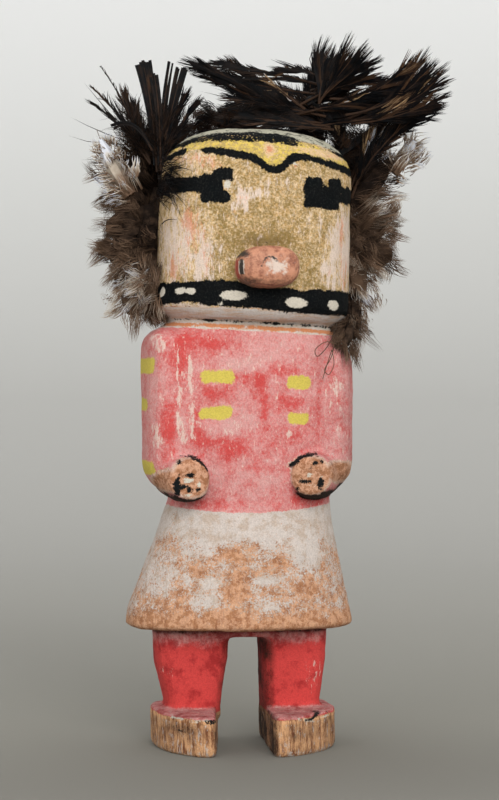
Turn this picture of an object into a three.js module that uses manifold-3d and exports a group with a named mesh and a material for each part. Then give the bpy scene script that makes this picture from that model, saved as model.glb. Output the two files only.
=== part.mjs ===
// A kachina doll: a painted cottonwood figure, a whittled snout pegged to its face, and feathers.
// Millimetres, +Z up. The figure faces -Y and stands on its soles at Z = 0. It is drawn about the
// middle of its feet and moved at the end, so that the origin is under the middle of the whole doll.
import * as THREE from "three";
import { mergeVertices } from "three/addons/utils/BufferGeometryUtils.js";
import Module from "manifold-3d";

const wasm = await Module();
wasm.setup();

// Driving sizes of the carving.
const SOLE_HEIGHT = 13.3;
const CROTCH_Z = 37.5;
const HEM_Z = 41.2;
const WAIST_Z = 81;
const ELBOW_Z = 85.8;
const HAND_Z = 93.2;
const SHOULDER_Z = 143.6;
const NECK_Z = 146;
const CROWN_Z = 212.6;
const HEAD_WIDTH = 67;
const HEAD_DEPTH = 60;
const HEM_X = -0.6; // the trunk leans a little to the figure's left as it rises
const WAIST_X = 2.7;
const CHEST_X = 1.5;
const HEAD_X = 3.2;
const GAP = 0.3; // between two pieces that touch

// Colours of the pieces.
const RED_PAINT = { color: 0xcf4a4c, roughness: 0.9, metalness: 0 };
const SNOUT_PAINT = { color: 0xb56a4e, roughness: 0.8, metalness: 0 };
const BLACK_FEATHER = { color: 0x17120f, roughness: 0.6, metalness: 0 };
const BROWN_DOWN = { color: 0x4a3a2f, roughness: 0.95, metalness: 0 };

// ---------------------------------------------------------------- helpers

// Turns a three.js geometry into a manifold solid.
function solidOf(geometry) {
  const bare = geometry.clone();
  bare.deleteAttribute("normal");
  bare.deleteAttribute("uv");
  const merged = mergeVertices(bare, 1e-4);
  const mesh = new wasm.Mesh({
    numProp: 3,
    vertProperties: new Float32Array(merged.attributes.position.array),
    triVerts: new Uint32Array(merged.index.array),
  });
  return new wasm.Manifold(mesh);
}

// Turns a manifold solid back into a three.js geometry.
function geometryOf(solid) {
  const mesh = solid.getMesh();
  const geometry = new THREE.BufferGeometry();
  geometry.setAttribute("position", new THREE.BufferAttribute(mesh.vertProperties, 3));
  geometry.setIndex(new THREE.BufferAttribute(mesh.triVerts, 1));
  geometry.computeVertexNormals();
  return geometry;
}

function join(solids) {
  return solids.reduce((sum, next) => sum.add(next));
}

// Radius of a unit superellipse at an angle. A power of 2 is an ellipse, and more is squarer.
function squareness(angle, power) {
  const across = Math.abs(Math.cos(angle)) ** power;
  const along = Math.abs(Math.sin(angle)) ** power;
  return (across + along) ** (-1 / power);
}

// A closed body through sections. Each section has a centre, two half-size vectors and a power.
function loft(sides, sections) {
  const geometry = new THREE.CylinderGeometry(1, 1, 1, sides, sections.length - 1);
  const place = geometry.attributes.position;
  const vertex = new THREE.Vector3();
  for (let i = 0; i < place.count; i++) {
    vertex.fromBufferAttribute(place, i);
    const row = Math.round((vertex.y + 0.5) * (sections.length - 1));
    const { centre, across, front, power } = sections[row];
    const reach = squareness(Math.atan2(vertex.z, vertex.x), power);
    const point = centre.clone();
    point.addScaledVector(across, vertex.x * reach);
    point.addScaledVector(front, vertex.z * reach);
    place.setXYZ(i, point.x, point.y, point.z);
  }
  return geometry;
}

// A level section of an upright body.
function level(z, halfWidth, halfDepth, power, x = 0, y = 0) {
  return {
    centre: new THREE.Vector3(x, y, z),
    across: new THREE.Vector3(halfWidth, 0, 0),
    front: new THREE.Vector3(0, -halfDepth, 0),
    power,
  };
}

function mix(a, b, share) {
  return a + (b - a) * share;
}

// ---------------------------------------------------------------- the carving

// The kilt flares from the waist to a hem with a softened edge.
function kilt() {
  const outline = [
    [HEM_Z, 37.4, 25.4],
    [HEM_Z + 0.9, 38.6, 26.8],
    [HEM_Z + 4, 38.5, 27],
    [HEM_Z + 14, 35.6, 25.6],
    [HEM_Z + 27, 31.6, 23.6],
    [WAIST_Z, 28.2, 21.8],
    [WAIST_Z + 6, 27.6, 21.4],
  ];
  const sections = outline.map(([z, width, depth]) => {
    const rise = (z - HEM_Z) / (WAIST_Z - HEM_Z);
    return level(z, width, depth, 2.4, mix(HEM_X, WAIST_X, rise));
  });
  return solidOf(loft(40, sections));
}

// The trunk, from the waist to the rim under the chin. Its shoulders slope out from the neck.
function torso() {
  const outline = [
    [WAIST_Z + 4, 27.6, 21.4, 2.5, WAIST_X],
    [94, 28.6, 22.2, 2.6, CHEST_X],
    [106, 32.2, 22.6, 3.1, CHEST_X],
    [122, 33, 22.9, 3.3, CHEST_X],
    [134, 33, 22.7, 3.3, CHEST_X],
    [SHOULDER_Z - 3, 32, 22.2, 3.1, CHEST_X],
    [SHOULDER_Z, 29.8, 21.4, 2.8, CHEST_X],
    [NECK_Z, 27.2, 20.4, 2.5, CHEST_X],
    [NECK_Z + 2, 27, 20.4, 2.5, HEAD_X],
  ];
  return solidOf(loft(40, outline.map((section) => level(...section))));
}

// An upper arm, carved flat against the trunk. Its ends are round.
function upperArm(side, shoulderZ, shoulderRound) {
  const halfWidth = 9;
  const halfDepth = 16.6;
  const elbowRound = 11.5;
  const x = CHEST_X + side * 27.2;
  const steps = 4;
  const sections = [];
  for (let i = 0; i <= steps; i++) {
    const turn = ((i + 0.45) / (steps + 0.45)) * (Math.PI / 2);
    const share = Math.sin(turn);
    const inset = side * (share - 1) * 4.5;
    const z = ELBOW_Z + elbowRound * (1 - Math.cos(turn));
    sections.push(level(z, halfWidth * share, halfDepth * share, 2.5, x + inset, -4.2));
  }
  sections.push(level(120, halfWidth, halfDepth + 0.3, 2.6, x, -4.4));
  for (let i = steps; i >= 0; i--) {
    const turn = ((i + 0.6) / (steps + 0.6)) * (Math.PI / 2);
    const share = Math.sin(turn);
    const inset = side * (share - 1) * shoulderRound * 0.8;
    const z = shoulderZ - shoulderRound * (1 - Math.cos(turn));
    sections.push(level(z, halfWidth * share, halfDepth * share, 2.5, x + inset, -3.8));
  }
  return solidOf(loft(20, sections));
}

// A forearm from the elbow to the blunt end of its hand, which stands proud of the belly.
function forearm(side, handX, handZ) {
  const elbow = new THREE.Vector3(CHEST_X + side * 25.6, -6, HAND_Z + 0.4);
  const hand = new THREE.Vector3(handX, -26.6, handZ);
  const along = hand.clone().sub(elbow);
  const reach = along.length();
  along.normalize();
  const across = new THREE.Vector3(along.y, -along.x, 0);
  const up = new THREE.Vector3(0, 0, 1);
  const profile = [
    [0, 7.8],
    [0.5, 7.8],
    [0.84, 7.4],
    [0.95, 6.9],
    [0.99, 6.1],
    [1, 5.2],
  ];
  const sections = profile.map(([share, radius]) => ({
    centre: elbow.clone().addScaledVector(along, share * reach),
    across: across.clone().multiplyScalar(radius),
    front: up.clone().multiplyScalar(radius * 1.03),
    power: 2.2,
  }));
  return solidOf(loft(20, sections));
}

// The block under the kilt from which both legs come down.
function hips() {
  const halfWidth = 30.1;
  const x = -0.5;
  const sections = [
    level(CROTCH_Z, halfWidth - 1, 11.6, 4, x, 0.4),
    level(CROTCH_Z + 1, halfWidth, 12.6, 4, x, 0.4),
    level(HEM_Z + 3, halfWidth, 12.6, 4, x, 0.4),
  ];
  return solidOf(loft(24, sections));
}

// A leg with a flat front that tapers to the ankle. Each end is given by its inner and outer X.
function leg(thigh, ankle) {
  const taper = [
    [SOLE_HEIGHT - 3, 1, 11.4],
    [SOLE_HEIGHT + 1, 1, 11.4],
    [22, 0.6, 12],
    [29, 0.2, 12.4],
    [HEM_Z + 2, 0, 12.5],
  ];
  const sections = taper.map(([z, share, depth]) => {
    const inner = mix(thigh[0], ankle[0], share);
    const outer = mix(thigh[1], ankle[1], share);
    return level(z, Math.abs(outer - inner) / 2, depth, 4, (inner + outer) / 2, 0.4);
  });
  return solidOf(loft(28, sections));
}

// A foot cut as a block with a flat sole. Its toes turn out, and its front runs back on the outside.
function foot(side, toeInner, heelInner, outer, toeY) {
  const heelY = 16.5;
  const shape = new THREE.Shape();
  shape.moveTo(heelInner, heelY - 5);
  shape.lineTo(toeInner, toeY + 3);
  shape.quadraticCurveTo(toeInner + side * 0.4, toeY, toeInner + side * 3, toeY);
  shape.bezierCurveTo(
    toeInner + side * 10,
    toeY + 1.5,
    outer - side * 2,
    toeY + 13,
    outer - side * 0.6,
    toeY + 27
  );
  shape.quadraticCurveTo(outer, toeY + 32, outer - side, heelY - 7);
  shape.quadraticCurveTo(outer - side * 2, heelY, outer - side * 9, heelY);
  shape.lineTo(heelInner + side * 5, heelY);
  shape.quadraticCurveTo(heelInner, heelY, heelInner, heelY - 5);
  const bevel = 0.7;
  const block = new THREE.ExtrudeGeometry(shape, {
    depth: SOLE_HEIGHT - 2 * bevel,
    bevelEnabled: true,
    bevelThickness: bevel,
    bevelSize: bevel,
    bevelOffset: -bevel,
    bevelSegments: 1,
    curveSegments: 5,
  });
  block.translate(0, 0, bevel);
  return solidOf(block);
}

// The head leans a little, so it is made upright at the neck and then set in its place.
const HEAD_LEAN = THREE.MathUtils.degToRad(2.4);
const headPlace = new THREE.Matrix4().makeTranslation(HEAD_X, 0, NECK_Z);
headPlace.multiply(new THREE.Matrix4().makeRotationY(HEAD_LEAN));
const HEAD_HEIGHT = CROWN_Z - NECK_Z;
const HEAD_POWER = 2.5;

const CROWN_ROUND = 18;

// Half width of the head at a height above the neck, as a share of its widest.
function headShare(height) {
  const chin = 5;
  const brow = HEAD_HEIGHT - CROWN_ROUND;
  if (height < chin) return mix(1, 0.86, (1 - height / chin) ** 1.8);
  if (height < brow) return mix(1, 0.98, (height - chin) / (brow - chin));
  const rise = Math.min(1, (height - brow) / CROWN_ROUND);
  return 0.98 * (1 - rise ** 2.5) ** (1 / 2.5);
}

function head() {
  const heights = [0, 1.2, 2.5, 3.8, 5, 15, 28, 40];
  for (const rise of [0, 0.25, 0.45, 0.62, 0.76, 0.87, 0.94, 0.98]) {
    heights.push(HEAD_HEIGHT - CROWN_ROUND * (1 - rise));
  }
  heights.push(HEAD_HEIGHT - 0.02);
  const sections = heights.map((height) => {
    const share = headShare(height);
    return level(height, (HEAD_WIDTH / 2) * share, (HEAD_DEPTH / 2) * share, HEAD_POWER);
  });
  return solidOf(loft(40, sections).applyMatrix4(headPlace));
}

// A point on the head's side: angle 0 is the middle of the face and 90 the figure's left ear.
function onHead(degrees, z, standoff = 0) {
  const height = z - NECK_Z;
  const angle = THREE.MathUtils.degToRad(degrees);
  const reach = squareness(Math.PI / 2 - angle, HEAD_POWER) * headShare(height);
  const x = Math.sin(angle) * ((HEAD_WIDTH / 2) * reach + standoff);
  const y = -Math.cos(angle) * ((HEAD_DEPTH / 2) * reach + standoff);
  return new THREE.Vector3(x, y, height).applyMatrix4(headPlace);
}

function carvedFigure() {
  return join([
    kilt(),
    torso(),
    head(),
    hips(),
    upperArm(-1, SHOULDER_Z + 1.6, 7),
    upperArm(1, SHOULDER_Z, 12),
    forearm(-1, -20.8, HAND_Z - 1.2),
    forearm(1, 19.8, HAND_Z),
    leg([-4.6, -30.6], [-7.8, -26.2]),
    leg([6.6, 29.4], [7.4, 27]),
    foot(-1, -12.6, -6.5, -31.4, -31.5),
    foot(1, 6.4, 8.4, 32.6, -34.2),
  ]);
}

// ---------------------------------------------------------------- the snout

// A blunt block with a domed end, narrowing away from the face.
function snout(figure) {
  const middle = onHead(0, 163.2);
  const out = onHead(0, 163.2, 1).sub(middle).normalize();
  const across = new THREE.Vector3(-out.y, out.x, 0).normalize();
  const up = new THREE.Vector3().crossVectors(across, out);
  const profile = [
    [-3, 10.6, 6.9],
    [3, 10.5, 6.9],
    [8, 10, 6.8],
    [10.6, 9.2, 6.1],
    [11.8, 7.8, 4.9],
    [12.4, 5.4, 3],
  ];
  const sections = profile.map(([reach, width, height]) => ({
    centre: middle.clone().addScaledVector(out, reach),
    across: across.clone().multiplyScalar(width),
    front: up.clone().multiplyScalar(height),
    power: 2.7,
  }));
  const block = solidOf(loft(24, sections));
  const backedOff = figure.translate([out.x * GAP, out.y * GAP, out.z * GAP]);
  return block.subtract(backedOff);
}

// ---------------------------------------------------------------- the feathers

// One feather is a thin blade on a quill that bends from its root, past a bow point, to its tip.
// Its face looks forward.
function feather({ root, bow, tip, width, thick = 0.8, blunt = 0.55 }) {
  const spine = new THREE.QuadraticBezierCurve3(root, bow, tip);
  const quill = 0.14;
  const rows = 8;
  const sections = [];
  for (let i = 0; i <= rows; i++) {
    const share = i / rows;
    const tangent = spine.getTangent(share);
    const face = new THREE.Vector3(0, -1, 0).addScaledVector(tangent, tangent.y).normalize();
    const across = new THREE.Vector3().crossVectors(tangent, face);
    const along = Math.max(0, (share - quill) / (1 - quill));
    const swell = Math.sin(Math.PI * (0.03 + 0.94 * along ** 0.85)) ** blunt;
    const halfWidth = share < quill ? thick * 0.55 : Math.max(thick * 0.55, (width / 2) * swell);
    const halfThick = (thick / 2) * mix(1, 0.6, share);
    sections.push({
      centre: spine.getPoint(share),
      across: across.multiplyScalar(halfWidth),
      front: face.multiplyScalar(halfThick),
      power: 1.6,
    });
  }
  return solidOf(loft(6, sections));
}

const vector = (x, y, z) => new THREE.Vector3(x, y, z);

// Stiff black feathers that stand up beside the right temple.
function templePlumes() {
  const plumes = [
    { bow: vector(-33, -1, 214), tip: vector(-35.6, 1, 238), width: 7 },
    { bow: vector(-31.6, -4, 212), tip: vector(-30.4, -3, 234), width: 5 },
    { bow: vector(-29, -7.6, 212), tip: vector(-24, -7, 239), width: 3.6 },
    { bow: vector(-28, -12, 211), tip: vector(-19, -12.4, 237), width: 6 },
    { bow: vector(-40, 3.4, 214), tip: vector(-49, 5.4, 235), width: 3.4 },
    { bow: vector(-42, 7, 209), tip: vector(-57, 9, 217), width: 5 },
  ];
  const angles = [-82, -76, -70, -64, -89, -95];
  return plumes.map((plume, i) => ({ ...plume, root: onHead(angles[i], 191 - i * 0.6, 0.9) }));
}

// Long black feathers that rise behind the left temple. Some cross the crown, and the rest fan out.
function crestPlumes() {
  const plumes = [
    { turn: 112, height: 201, bow: vector(38, 10, 233), tip: vector(-19, 6, 240), width: 12 },
    { turn: 119, height: 203, bow: vector(30, 14, 236), tip: vector(-9, 10, 243), width: 11 },
    { turn: 126, height: 205, bow: vector(36, 18, 226), tip: vector(-3, 14, 230), width: 14 },
    { turn: 105, height: 199, bow: vector(42, 6, 223), tip: vector(2, 1.6, 223), width: 12 },
    { turn: 133, height: 206, bow: vector(23, 21, 230), tip: vector(35, 18, 247), width: 10 },
    { turn: 140, height: 207, bow: vector(22, 25, 229), tip: vector(50, 22, 245.5), width: 11 },
    { turn: 98, height: 196, bow: vector(46, 2.6, 222), tip: vector(66, 1, 245), width: 12 },
    { turn: 92, height: 194, bow: vector(47, -1.4, 217), tip: vector(73, -3, 239), width: 13 },
    { turn: 86, height: 191, bow: vector(46, -5.4, 212), tip: vector(73, -7, 224), width: 13 },
  ];
  return plumes.map(({ turn, height, ...plume }) => ({ ...plume, root: onHead(turn, height, 0.9) }));
}

// Soft feathers at one side of the head. They fan from above the temple down past the jaw, and
// reach gives the length of the top, the middle and the lowest one.
function sideDown(side, count, lowestLean, reach) {
  const feathers = [];
  const lengths = new THREE.SplineCurve(reach.map((length, i) => new THREE.Vector2(i, length)));
  for (let i = 0; i < count; i++) {
    const share = i / (count - 1);
    const root = onHead(side * mix(122, 78, share), mix(195, 159, share), 1.6);
    const lean = THREE.MathUtils.degToRad(mix(68, lowestLean, share));
    const span = vector(side * Math.cos(lean), 0, Math.sin(lean));
    span.multiplyScalar(lengths.getPoint(share).y);
    const tip = root.clone().add(span);
    const bow = root.clone().addScaledVector(span, 0.5);
    bow.x += side * 3 * share;
    feathers.push({ root, bow, tip, width: 17, thick: 2, blunt: 0.45 });
  }
  return feathers;
}

// Two soft feathers that droop from the left jaw, down in front of the shoulder.
function shoulderDown() {
  const droops = [
    { root: onHead(66, 158, 1.6), bow: vector(40, -22, 149), tip: vector(39.5, -25, 131.5) },
    { root: onHead(54, 155, 1.6), bow: vector(33.5, -27.5, 147), tip: vector(31, -29, 135.5) },
  ];
  return droops.map((droop) => ({ ...droop, width: 12, thick: 2, blunt: 0.45 }));
}

// ---------------------------------------------------------------- assembly

function piece(name, geometry, finish) {
  const mesh = new THREE.Mesh(geometry, new THREE.MeshStandardMaterial(finish));
  mesh.name = name;
  return mesh;
}

const doll = new THREE.Group();
const figure = carvedFigure();
doll.add(piece("carved_figure", geometryOf(figure), RED_PAINT));
doll.add(piece("snout", geometryOf(snout(figure)), SNOUT_PAINT));

const bunches = [
  ["temple_plume", templePlumes(), BLACK_FEATHER],
  ["crest_plume", crestPlumes(), BLACK_FEATHER],
  ["right_down", sideDown(-1, 7, -60, [25, 20, 18]), BROWN_DOWN],
  ["left_down", sideDown(1, 6, -58, [25, 20, 15]), BROWN_DOWN],
  ["shoulder_down", shoulderDown(), BROWN_DOWN],
];
for (const [name, feathers, finish] of bunches) {
  feathers.forEach((shape, i) => {
    doll.add(piece(`${name}_${i + 1}`, geometryOf(feather(shape)), finish));
  });
}

const bounds = new THREE.Box3().setFromObject(doll);
const middle = bounds.getCenter(new THREE.Vector3());
doll.position.set(-middle.x, -middle.y, -bounds.min.z);

export default doll;
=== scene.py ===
"""Dresses a kachina doll: painted cottonwood, a stained snout, black plumes and soft down.

The doll faces -Y and stands on the floor at Z = 0. Blender's lengths are metres. Sizes and paint
are given in millimetres in the doll's own frame, whose origin is on the floor between its feet.
"""

import logging
import math
from collections.abc import Callable
from dataclasses import dataclass, field
from enum import Enum

import bpy
import numpy as np
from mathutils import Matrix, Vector

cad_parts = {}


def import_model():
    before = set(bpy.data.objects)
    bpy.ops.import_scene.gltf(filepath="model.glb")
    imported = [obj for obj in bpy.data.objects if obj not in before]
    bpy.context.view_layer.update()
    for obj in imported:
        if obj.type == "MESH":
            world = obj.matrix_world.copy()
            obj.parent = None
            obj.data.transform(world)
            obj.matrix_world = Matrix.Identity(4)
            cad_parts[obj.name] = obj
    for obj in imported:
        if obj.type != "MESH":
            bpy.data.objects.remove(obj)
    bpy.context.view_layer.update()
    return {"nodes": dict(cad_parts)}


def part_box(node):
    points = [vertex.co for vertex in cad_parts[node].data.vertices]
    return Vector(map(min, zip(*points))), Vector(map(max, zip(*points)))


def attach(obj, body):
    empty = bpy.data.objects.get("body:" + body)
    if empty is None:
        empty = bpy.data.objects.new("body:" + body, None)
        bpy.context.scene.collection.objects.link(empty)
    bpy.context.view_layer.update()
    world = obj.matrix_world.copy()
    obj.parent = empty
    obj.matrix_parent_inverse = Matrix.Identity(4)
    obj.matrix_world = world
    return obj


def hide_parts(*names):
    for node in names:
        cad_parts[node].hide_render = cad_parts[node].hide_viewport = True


LOG = logging.getLogger("kachina")
MM = 0.001
ROOT = "root"
SEED = 100

# An edge distance in millimetres at which no paint is laid.
OFF = 10.0

# How many rings a shaft or a strip of vane is swept through, and how many a drawn feather has.
RINGS = 16
DRAWN_RINGS = 9


# ------------------------------------------------------------------ small helpers


def colour(red: int, green: int, blue: int) -> tuple[float, float, float, float]:
    """Turns a display colour from 0 to 255 into the linear colour that a shader takes.

    Args:
        red, green, blue: The display colour.

    Returns:
        Linear red, green, blue and an alpha of 1.
    """
    linear = []
    for value in (red, green, blue):
        share = value / 255
        linear.append(share / 12.92 if share < 0.04045 else ((share + 0.055) / 1.055) ** 2.4)
    return (*linear, 1.0)


def unit(vectors: np.ndarray) -> np.ndarray:
    """Scales vectors to length 1 along their last axis."""
    return vectors / np.maximum(np.linalg.norm(vectors, axis=-1, keepdims=True), 1e-9)


def ease(low: float, high: float, value: np.ndarray) -> np.ndarray:
    """Rises smoothly from 0 at low to 1 at high."""
    share = np.clip((value - low) / (high - low), 0, 1)
    return share * share * (3 - 2 * share)


def between(places: np.ndarray, steps: np.ndarray, points: np.ndarray) -> np.ndarray:
    """Finds the point at each place from the points that lie at rising steps."""
    return np.stack([np.interp(places, steps, column) for column in points.T], -1)


def middles(points: np.ndarray, groups: np.ndarray) -> np.ndarray:
    """Returns the middle of each numbered group of points."""
    sums = np.stack([np.bincount(groups, column) for column in points.T], -1)
    return sums / np.maximum(np.bincount(groups), 1)[:, None]


def read_points(mesh: bpy.types.Mesh, kind: str = "co") -> np.ndarray:
    """Returns a mesh's points, or their normals if kind says so, as an array of rows."""
    points = np.empty(len(mesh.vertices) * 3)
    mesh.vertices.foreach_get(kind, points)
    return points.reshape(-1, 3)


def write_points(mesh: bpy.types.Mesh, points: np.ndarray) -> None:
    """Moves a mesh's points."""
    mesh.vertices.foreach_set("co", points.astype(np.float32).ravel())
    mesh.update()


def write_attribute(mesh: bpy.types.Mesh, name: str, values: np.ndarray) -> None:
    """Stores one number for each point of a mesh under a name that a shader can read."""
    layer = mesh.attributes.new(name, "FLOAT", "POINT")
    layer.data.foreach_set("value", values.astype(np.float32))


def add_object(name: str, data: bpy.types.ID) -> bpy.types.Object:
    """Adds an object with a mesh, a camera or a light to the scene."""
    made = bpy.data.objects.new(name, data)
    bpy.context.scene.collection.objects.link(made)
    return made


def pick(piece: bpy.types.Object) -> None:
    """Selects one object alone and makes it the active one."""
    bpy.ops.object.select_all(action="DESELECT")
    piece.select_set(True)
    bpy.context.view_layer.objects.active = piece


def apply_modifier(piece: bpy.types.Object, kind: str, **settings: object) -> None:
    """Adds a modifier to a piece and applies it at once.

    Args:
        piece: The object to change.
        kind: Blender's type name of the modifier.
        **settings: Properties to set on the modifier.
    """
    pick(piece)
    modifier = piece.modifiers.new(kind.title(), kind)
    for name, value in settings.items():
        setattr(modifier, name, value)
    bpy.ops.object.modifier_apply(modifier=modifier.name)


def carve(name: str, cad: bpy.types.Object, cell: float, rounding: int) -> bpy.types.Object:
    """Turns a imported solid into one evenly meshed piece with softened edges.

    Args:
        name: The new piece's name.
        cad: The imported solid.
        cell: The size of the new mesh's cells in millimetres.
        rounding: How many times the mesh is smoothed.

    Returns:
        The new piece.
    """
    piece = add_object(name, cad.data.copy())
    piece.data.materials.clear()
    pick(piece)
    bpy.ops.object.mode_set(mode="EDIT")
    bpy.ops.mesh.select_all(action="SELECT")
    bpy.ops.mesh.remove_doubles(threshold=0.01 * MM)
    bpy.ops.object.mode_set(mode="OBJECT")
    apply_modifier(piece, "REMESH", mode="VOXEL", voxel_size=cell * MM)
    apply_modifier(piece, "SMOOTH", factor=0.5, iterations=rounding)
    return piece


def roughen(piece: bpy.types.Object, detail: int, *layers: tuple[float, float]) -> None:
    """Makes a surface as uneven as a knife leaves it.

    Args:
        piece: The piece to change.
        detail: How many finer levels each layer has.
        *layers: The size and the depth in millimetres of each layer of lumps.
    """
    for size, depth in layers:
        texture = bpy.data.textures.new(f"{piece.name}_lumps_{size}", "CLOUDS")
        texture.noise_scale = size * MM
        texture.noise_depth = detail
        apply_modifier(
            piece, "DISPLACE", texture=texture, strength=depth * MM, texture_coords="LOCAL"
        )


@dataclass(frozen=True)
class DollFrame:
    """Where the doll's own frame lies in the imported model."""

    origin: np.ndarray

    @classmethod
    def from_carving(cls) -> "DollFrame":
        """Finds the frame from the box of the carved figure.

        Returns:
            The frame, whose origin is a little off the middle of that box.
        """
        low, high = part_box("carved_figure")
        centre = (np.array(low) + np.array(high)) / 2
        return cls(np.array((centre[0] + 0.45 * MM, centre[1] + 2.1 * MM, 0.0)))

    def to_doll(self, points: np.ndarray) -> np.ndarray:
        """Turns scene points in metres into doll points in millimetres."""
        return (points - self.origin) / MM

    def to_scene(self, points: np.ndarray) -> np.ndarray:
        """Turns doll points in millimetres into scene points in metres."""
        return np.asarray(points) * MM + self.origin


# ------------------------------------------------------------------ shader building


class Graph:
    """Adds nodes to one node tree and wires them, with lengths in millimetres."""

    def __init__(self, tree: bpy.types.NodeTree) -> None:
        """Starts on an empty tree."""
        self.tree = tree
        tree.nodes.clear()
        self._millimetres: bpy.types.NodeSocket | None = None

    def node(self, kind: str, inputs: dict | None = None, **settings: object) -> bpy.types.Node:
        """Adds a node.

        Args:
            kind: Blender's class name of the node.
            inputs: Values or sockets for its inputs, by name or number.
            **settings: Properties to set on the node.

        Returns:
            The new node.
        """
        made = self.tree.nodes.new(kind)
        for name, value in settings.items():
            setattr(made, name, value)
        for name, value in (inputs or {}).items():
            self.feed(made.inputs[name], value)
        return made

    def feed(self, socket: bpy.types.NodeSocket, value: object) -> None:
        """Links a socket into an input, or sets the input to a value."""
        if isinstance(value, bpy.types.NodeSocket):
            self.tree.links.new(value, socket)
        else:
            socket.default_value = value

    def millimetres(self) -> bpy.types.NodeSocket:
        """Gives the object coordinates in millimetres."""
        if self._millimetres is None:
            place = self.node("ShaderNodeTexCoord").outputs["Object"]
            scaled = self.node("ShaderNodeVectorMath", {0: place}, operation="SCALE")
            scaled.inputs["Scale"].default_value = 1 / MM
            self._millimetres = scaled.outputs[0]
        return self._millimetres

    def attribute(self, name: str) -> bpy.types.NodeSocket:
        """Reads a number stored on the mesh."""
        return self.node("ShaderNodeAttribute", attribute_name=name).outputs["Fac"]

    def math(self, operation: str, *values: object) -> bpy.types.NodeSocket:
        """Adds a Math node with its two or three values."""
        return self.node("ShaderNodeMath", dict(enumerate(values)), operation=operation).outputs[0]

    def times(self, first: object, second: object) -> bpy.types.NodeSocket:
        """Multiplies two values."""
        return self.math("MULTIPLY", first, second)

    def plus(self, first: object, second: object) -> bpy.types.NodeSocket:
        """Adds two values."""
        return self.math("ADD", first, second)

    def minus(self, first: object, second: object) -> bpy.types.NodeSocket:
        """Takes the second value from the first."""
        return self.math("SUBTRACT", first, second)

    def blend(self, share: object, first: object, second: object) -> bpy.types.NodeSocket:
        """Mixes two colours by a share from 0 to 1."""
        made = self.node("ShaderNodeMix", {0: share, 6: first, 7: second}, data_type="RGBA")
        return made.outputs[2]

    def fade(
        self, first: object, second: object, value: object, low: float, high: float, most: float = 1
    ) -> bpy.types.NodeSocket:
        """Turns a colour into a second one where a value rises from low to high.

        Args:
            first: The colour where the value is at low.
            second: The colour that it turns into.
            value: The value that is read.
            low, high: The ends of the change.
            most: How far it turns at high, as a share.

        Returns:
            The colour.
        """
        share = self.span(value, low, high)
        return self.blend(share if most == 1 else self.times(share, most), first, second)

    def span(
        self, value: object, low: object, high: object, smooth: bool = True
    ) -> bpy.types.NodeSocket:
        """Rises from 0 at low to 1 at high, and stays within them."""
        made = self.node("ShaderNodeMapRange", {0: value, 1: low, 2: high})
        made.interpolation_type = "SMOOTHSTEP" if smooth else "LINEAR"
        return made.outputs[0]

    def noise(
        self,
        size: float,
        detail: float = 2.0,
        roughness: float = 0.5,
        stretch: tuple[float, float, float] = (1, 1, 1),
        seed: float = 0.0,
    ) -> bpy.types.NodeSocket:
        """Adds a noise that runs from about 0 to 1.

        Args:
            size: The size of its blotches in millimetres.
            detail: How many finer layers it has.
            roughness: How strong the finer layers are.
            stretch: How much longer it is along X, Y and Z.
            seed: Moves it, so that two noises differ.

        Returns:
            The noise, spread so that its usual range fills 0 to 1.
        """
        mapping = self.node("ShaderNodeMapping", {0: self.millimetres()})
        mapping.inputs["Location"].default_value = (seed * 13.7, seed * 7.9, seed * 5.3)
        mapping.inputs["Scale"].default_value = tuple(1 / (size * part) for part in stretch)
        made = self.node("ShaderNodeTexNoise", {"Vector": mapping.outputs[0], "Scale": 1.0})
        made.inputs["Detail"].default_value = detail
        made.inputs["Roughness"].default_value = roughness
        return self.span(made.outputs[0], 0.3, 0.7, smooth=False)

    def ragged(
        self, amount: object, reach: float, *shape: object, **more: object
    ) -> bpy.types.NodeSocket:
        """Adds to an amount a noise that swings by the reach to both sides."""
        swing = self.math("SUBTRACT", self.noise(*shape, **more), 0.5)
        return self.math("ADD", amount, self.math("MULTIPLY", swing, 2 * reach))

    def bump(self, shader: bpy.types.Node, height: object, strength: float) -> None:
        """Gives a shader small relief, up to 0.3 mm deep."""
        given = {"Height": height, "Strength": strength, "Distance": 0.3 * MM}
        self.feed(shader.inputs["Normal"], self.node("ShaderNodeBump", given).outputs["Normal"])

    def group(self, tree: bpy.types.NodeTree, **inputs: object) -> bpy.types.Node:
        """Places a node group, with its inputs given by name."""
        made = self.node("ShaderNodeGroup", node_tree=tree)
        for name, value in inputs.items():
            self.feed(made.inputs[name.replace("_", " ").title()], value)
        return made


def new_group(
    name: str, inputs: dict[str, object], outputs: dict[str, str]
) -> tuple[Graph, dict, dict]:
    """Starts a shader node group.

    Args:
        name: The group's name.
        inputs: Default values by socket name. A tuple is a colour.
        outputs: Socket kinds by name, "Float" or "Color".

    Returns:
        The graph, its input sockets by name, and its output sockets by name.
    """
    tree = bpy.data.node_groups.new(name, "ShaderNodeTree")
    graph = Graph(tree)
    for label, value in inputs.items():
        kind = "NodeSocketColor" if isinstance(value, tuple) else "NodeSocketFloat"
        tree.interface.new_socket(label, in_out="INPUT", socket_type=kind).default_value = value
    for label, kind in outputs.items():
        tree.interface.new_socket(label, in_out="OUTPUT", socket_type=f"NodeSocket{kind}")
    entry = graph.node("NodeGroupInput")
    leave = graph.node("NodeGroupOutput")
    return graph, dict(entry.outputs.items()), dict(leave.inputs.items())


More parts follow.
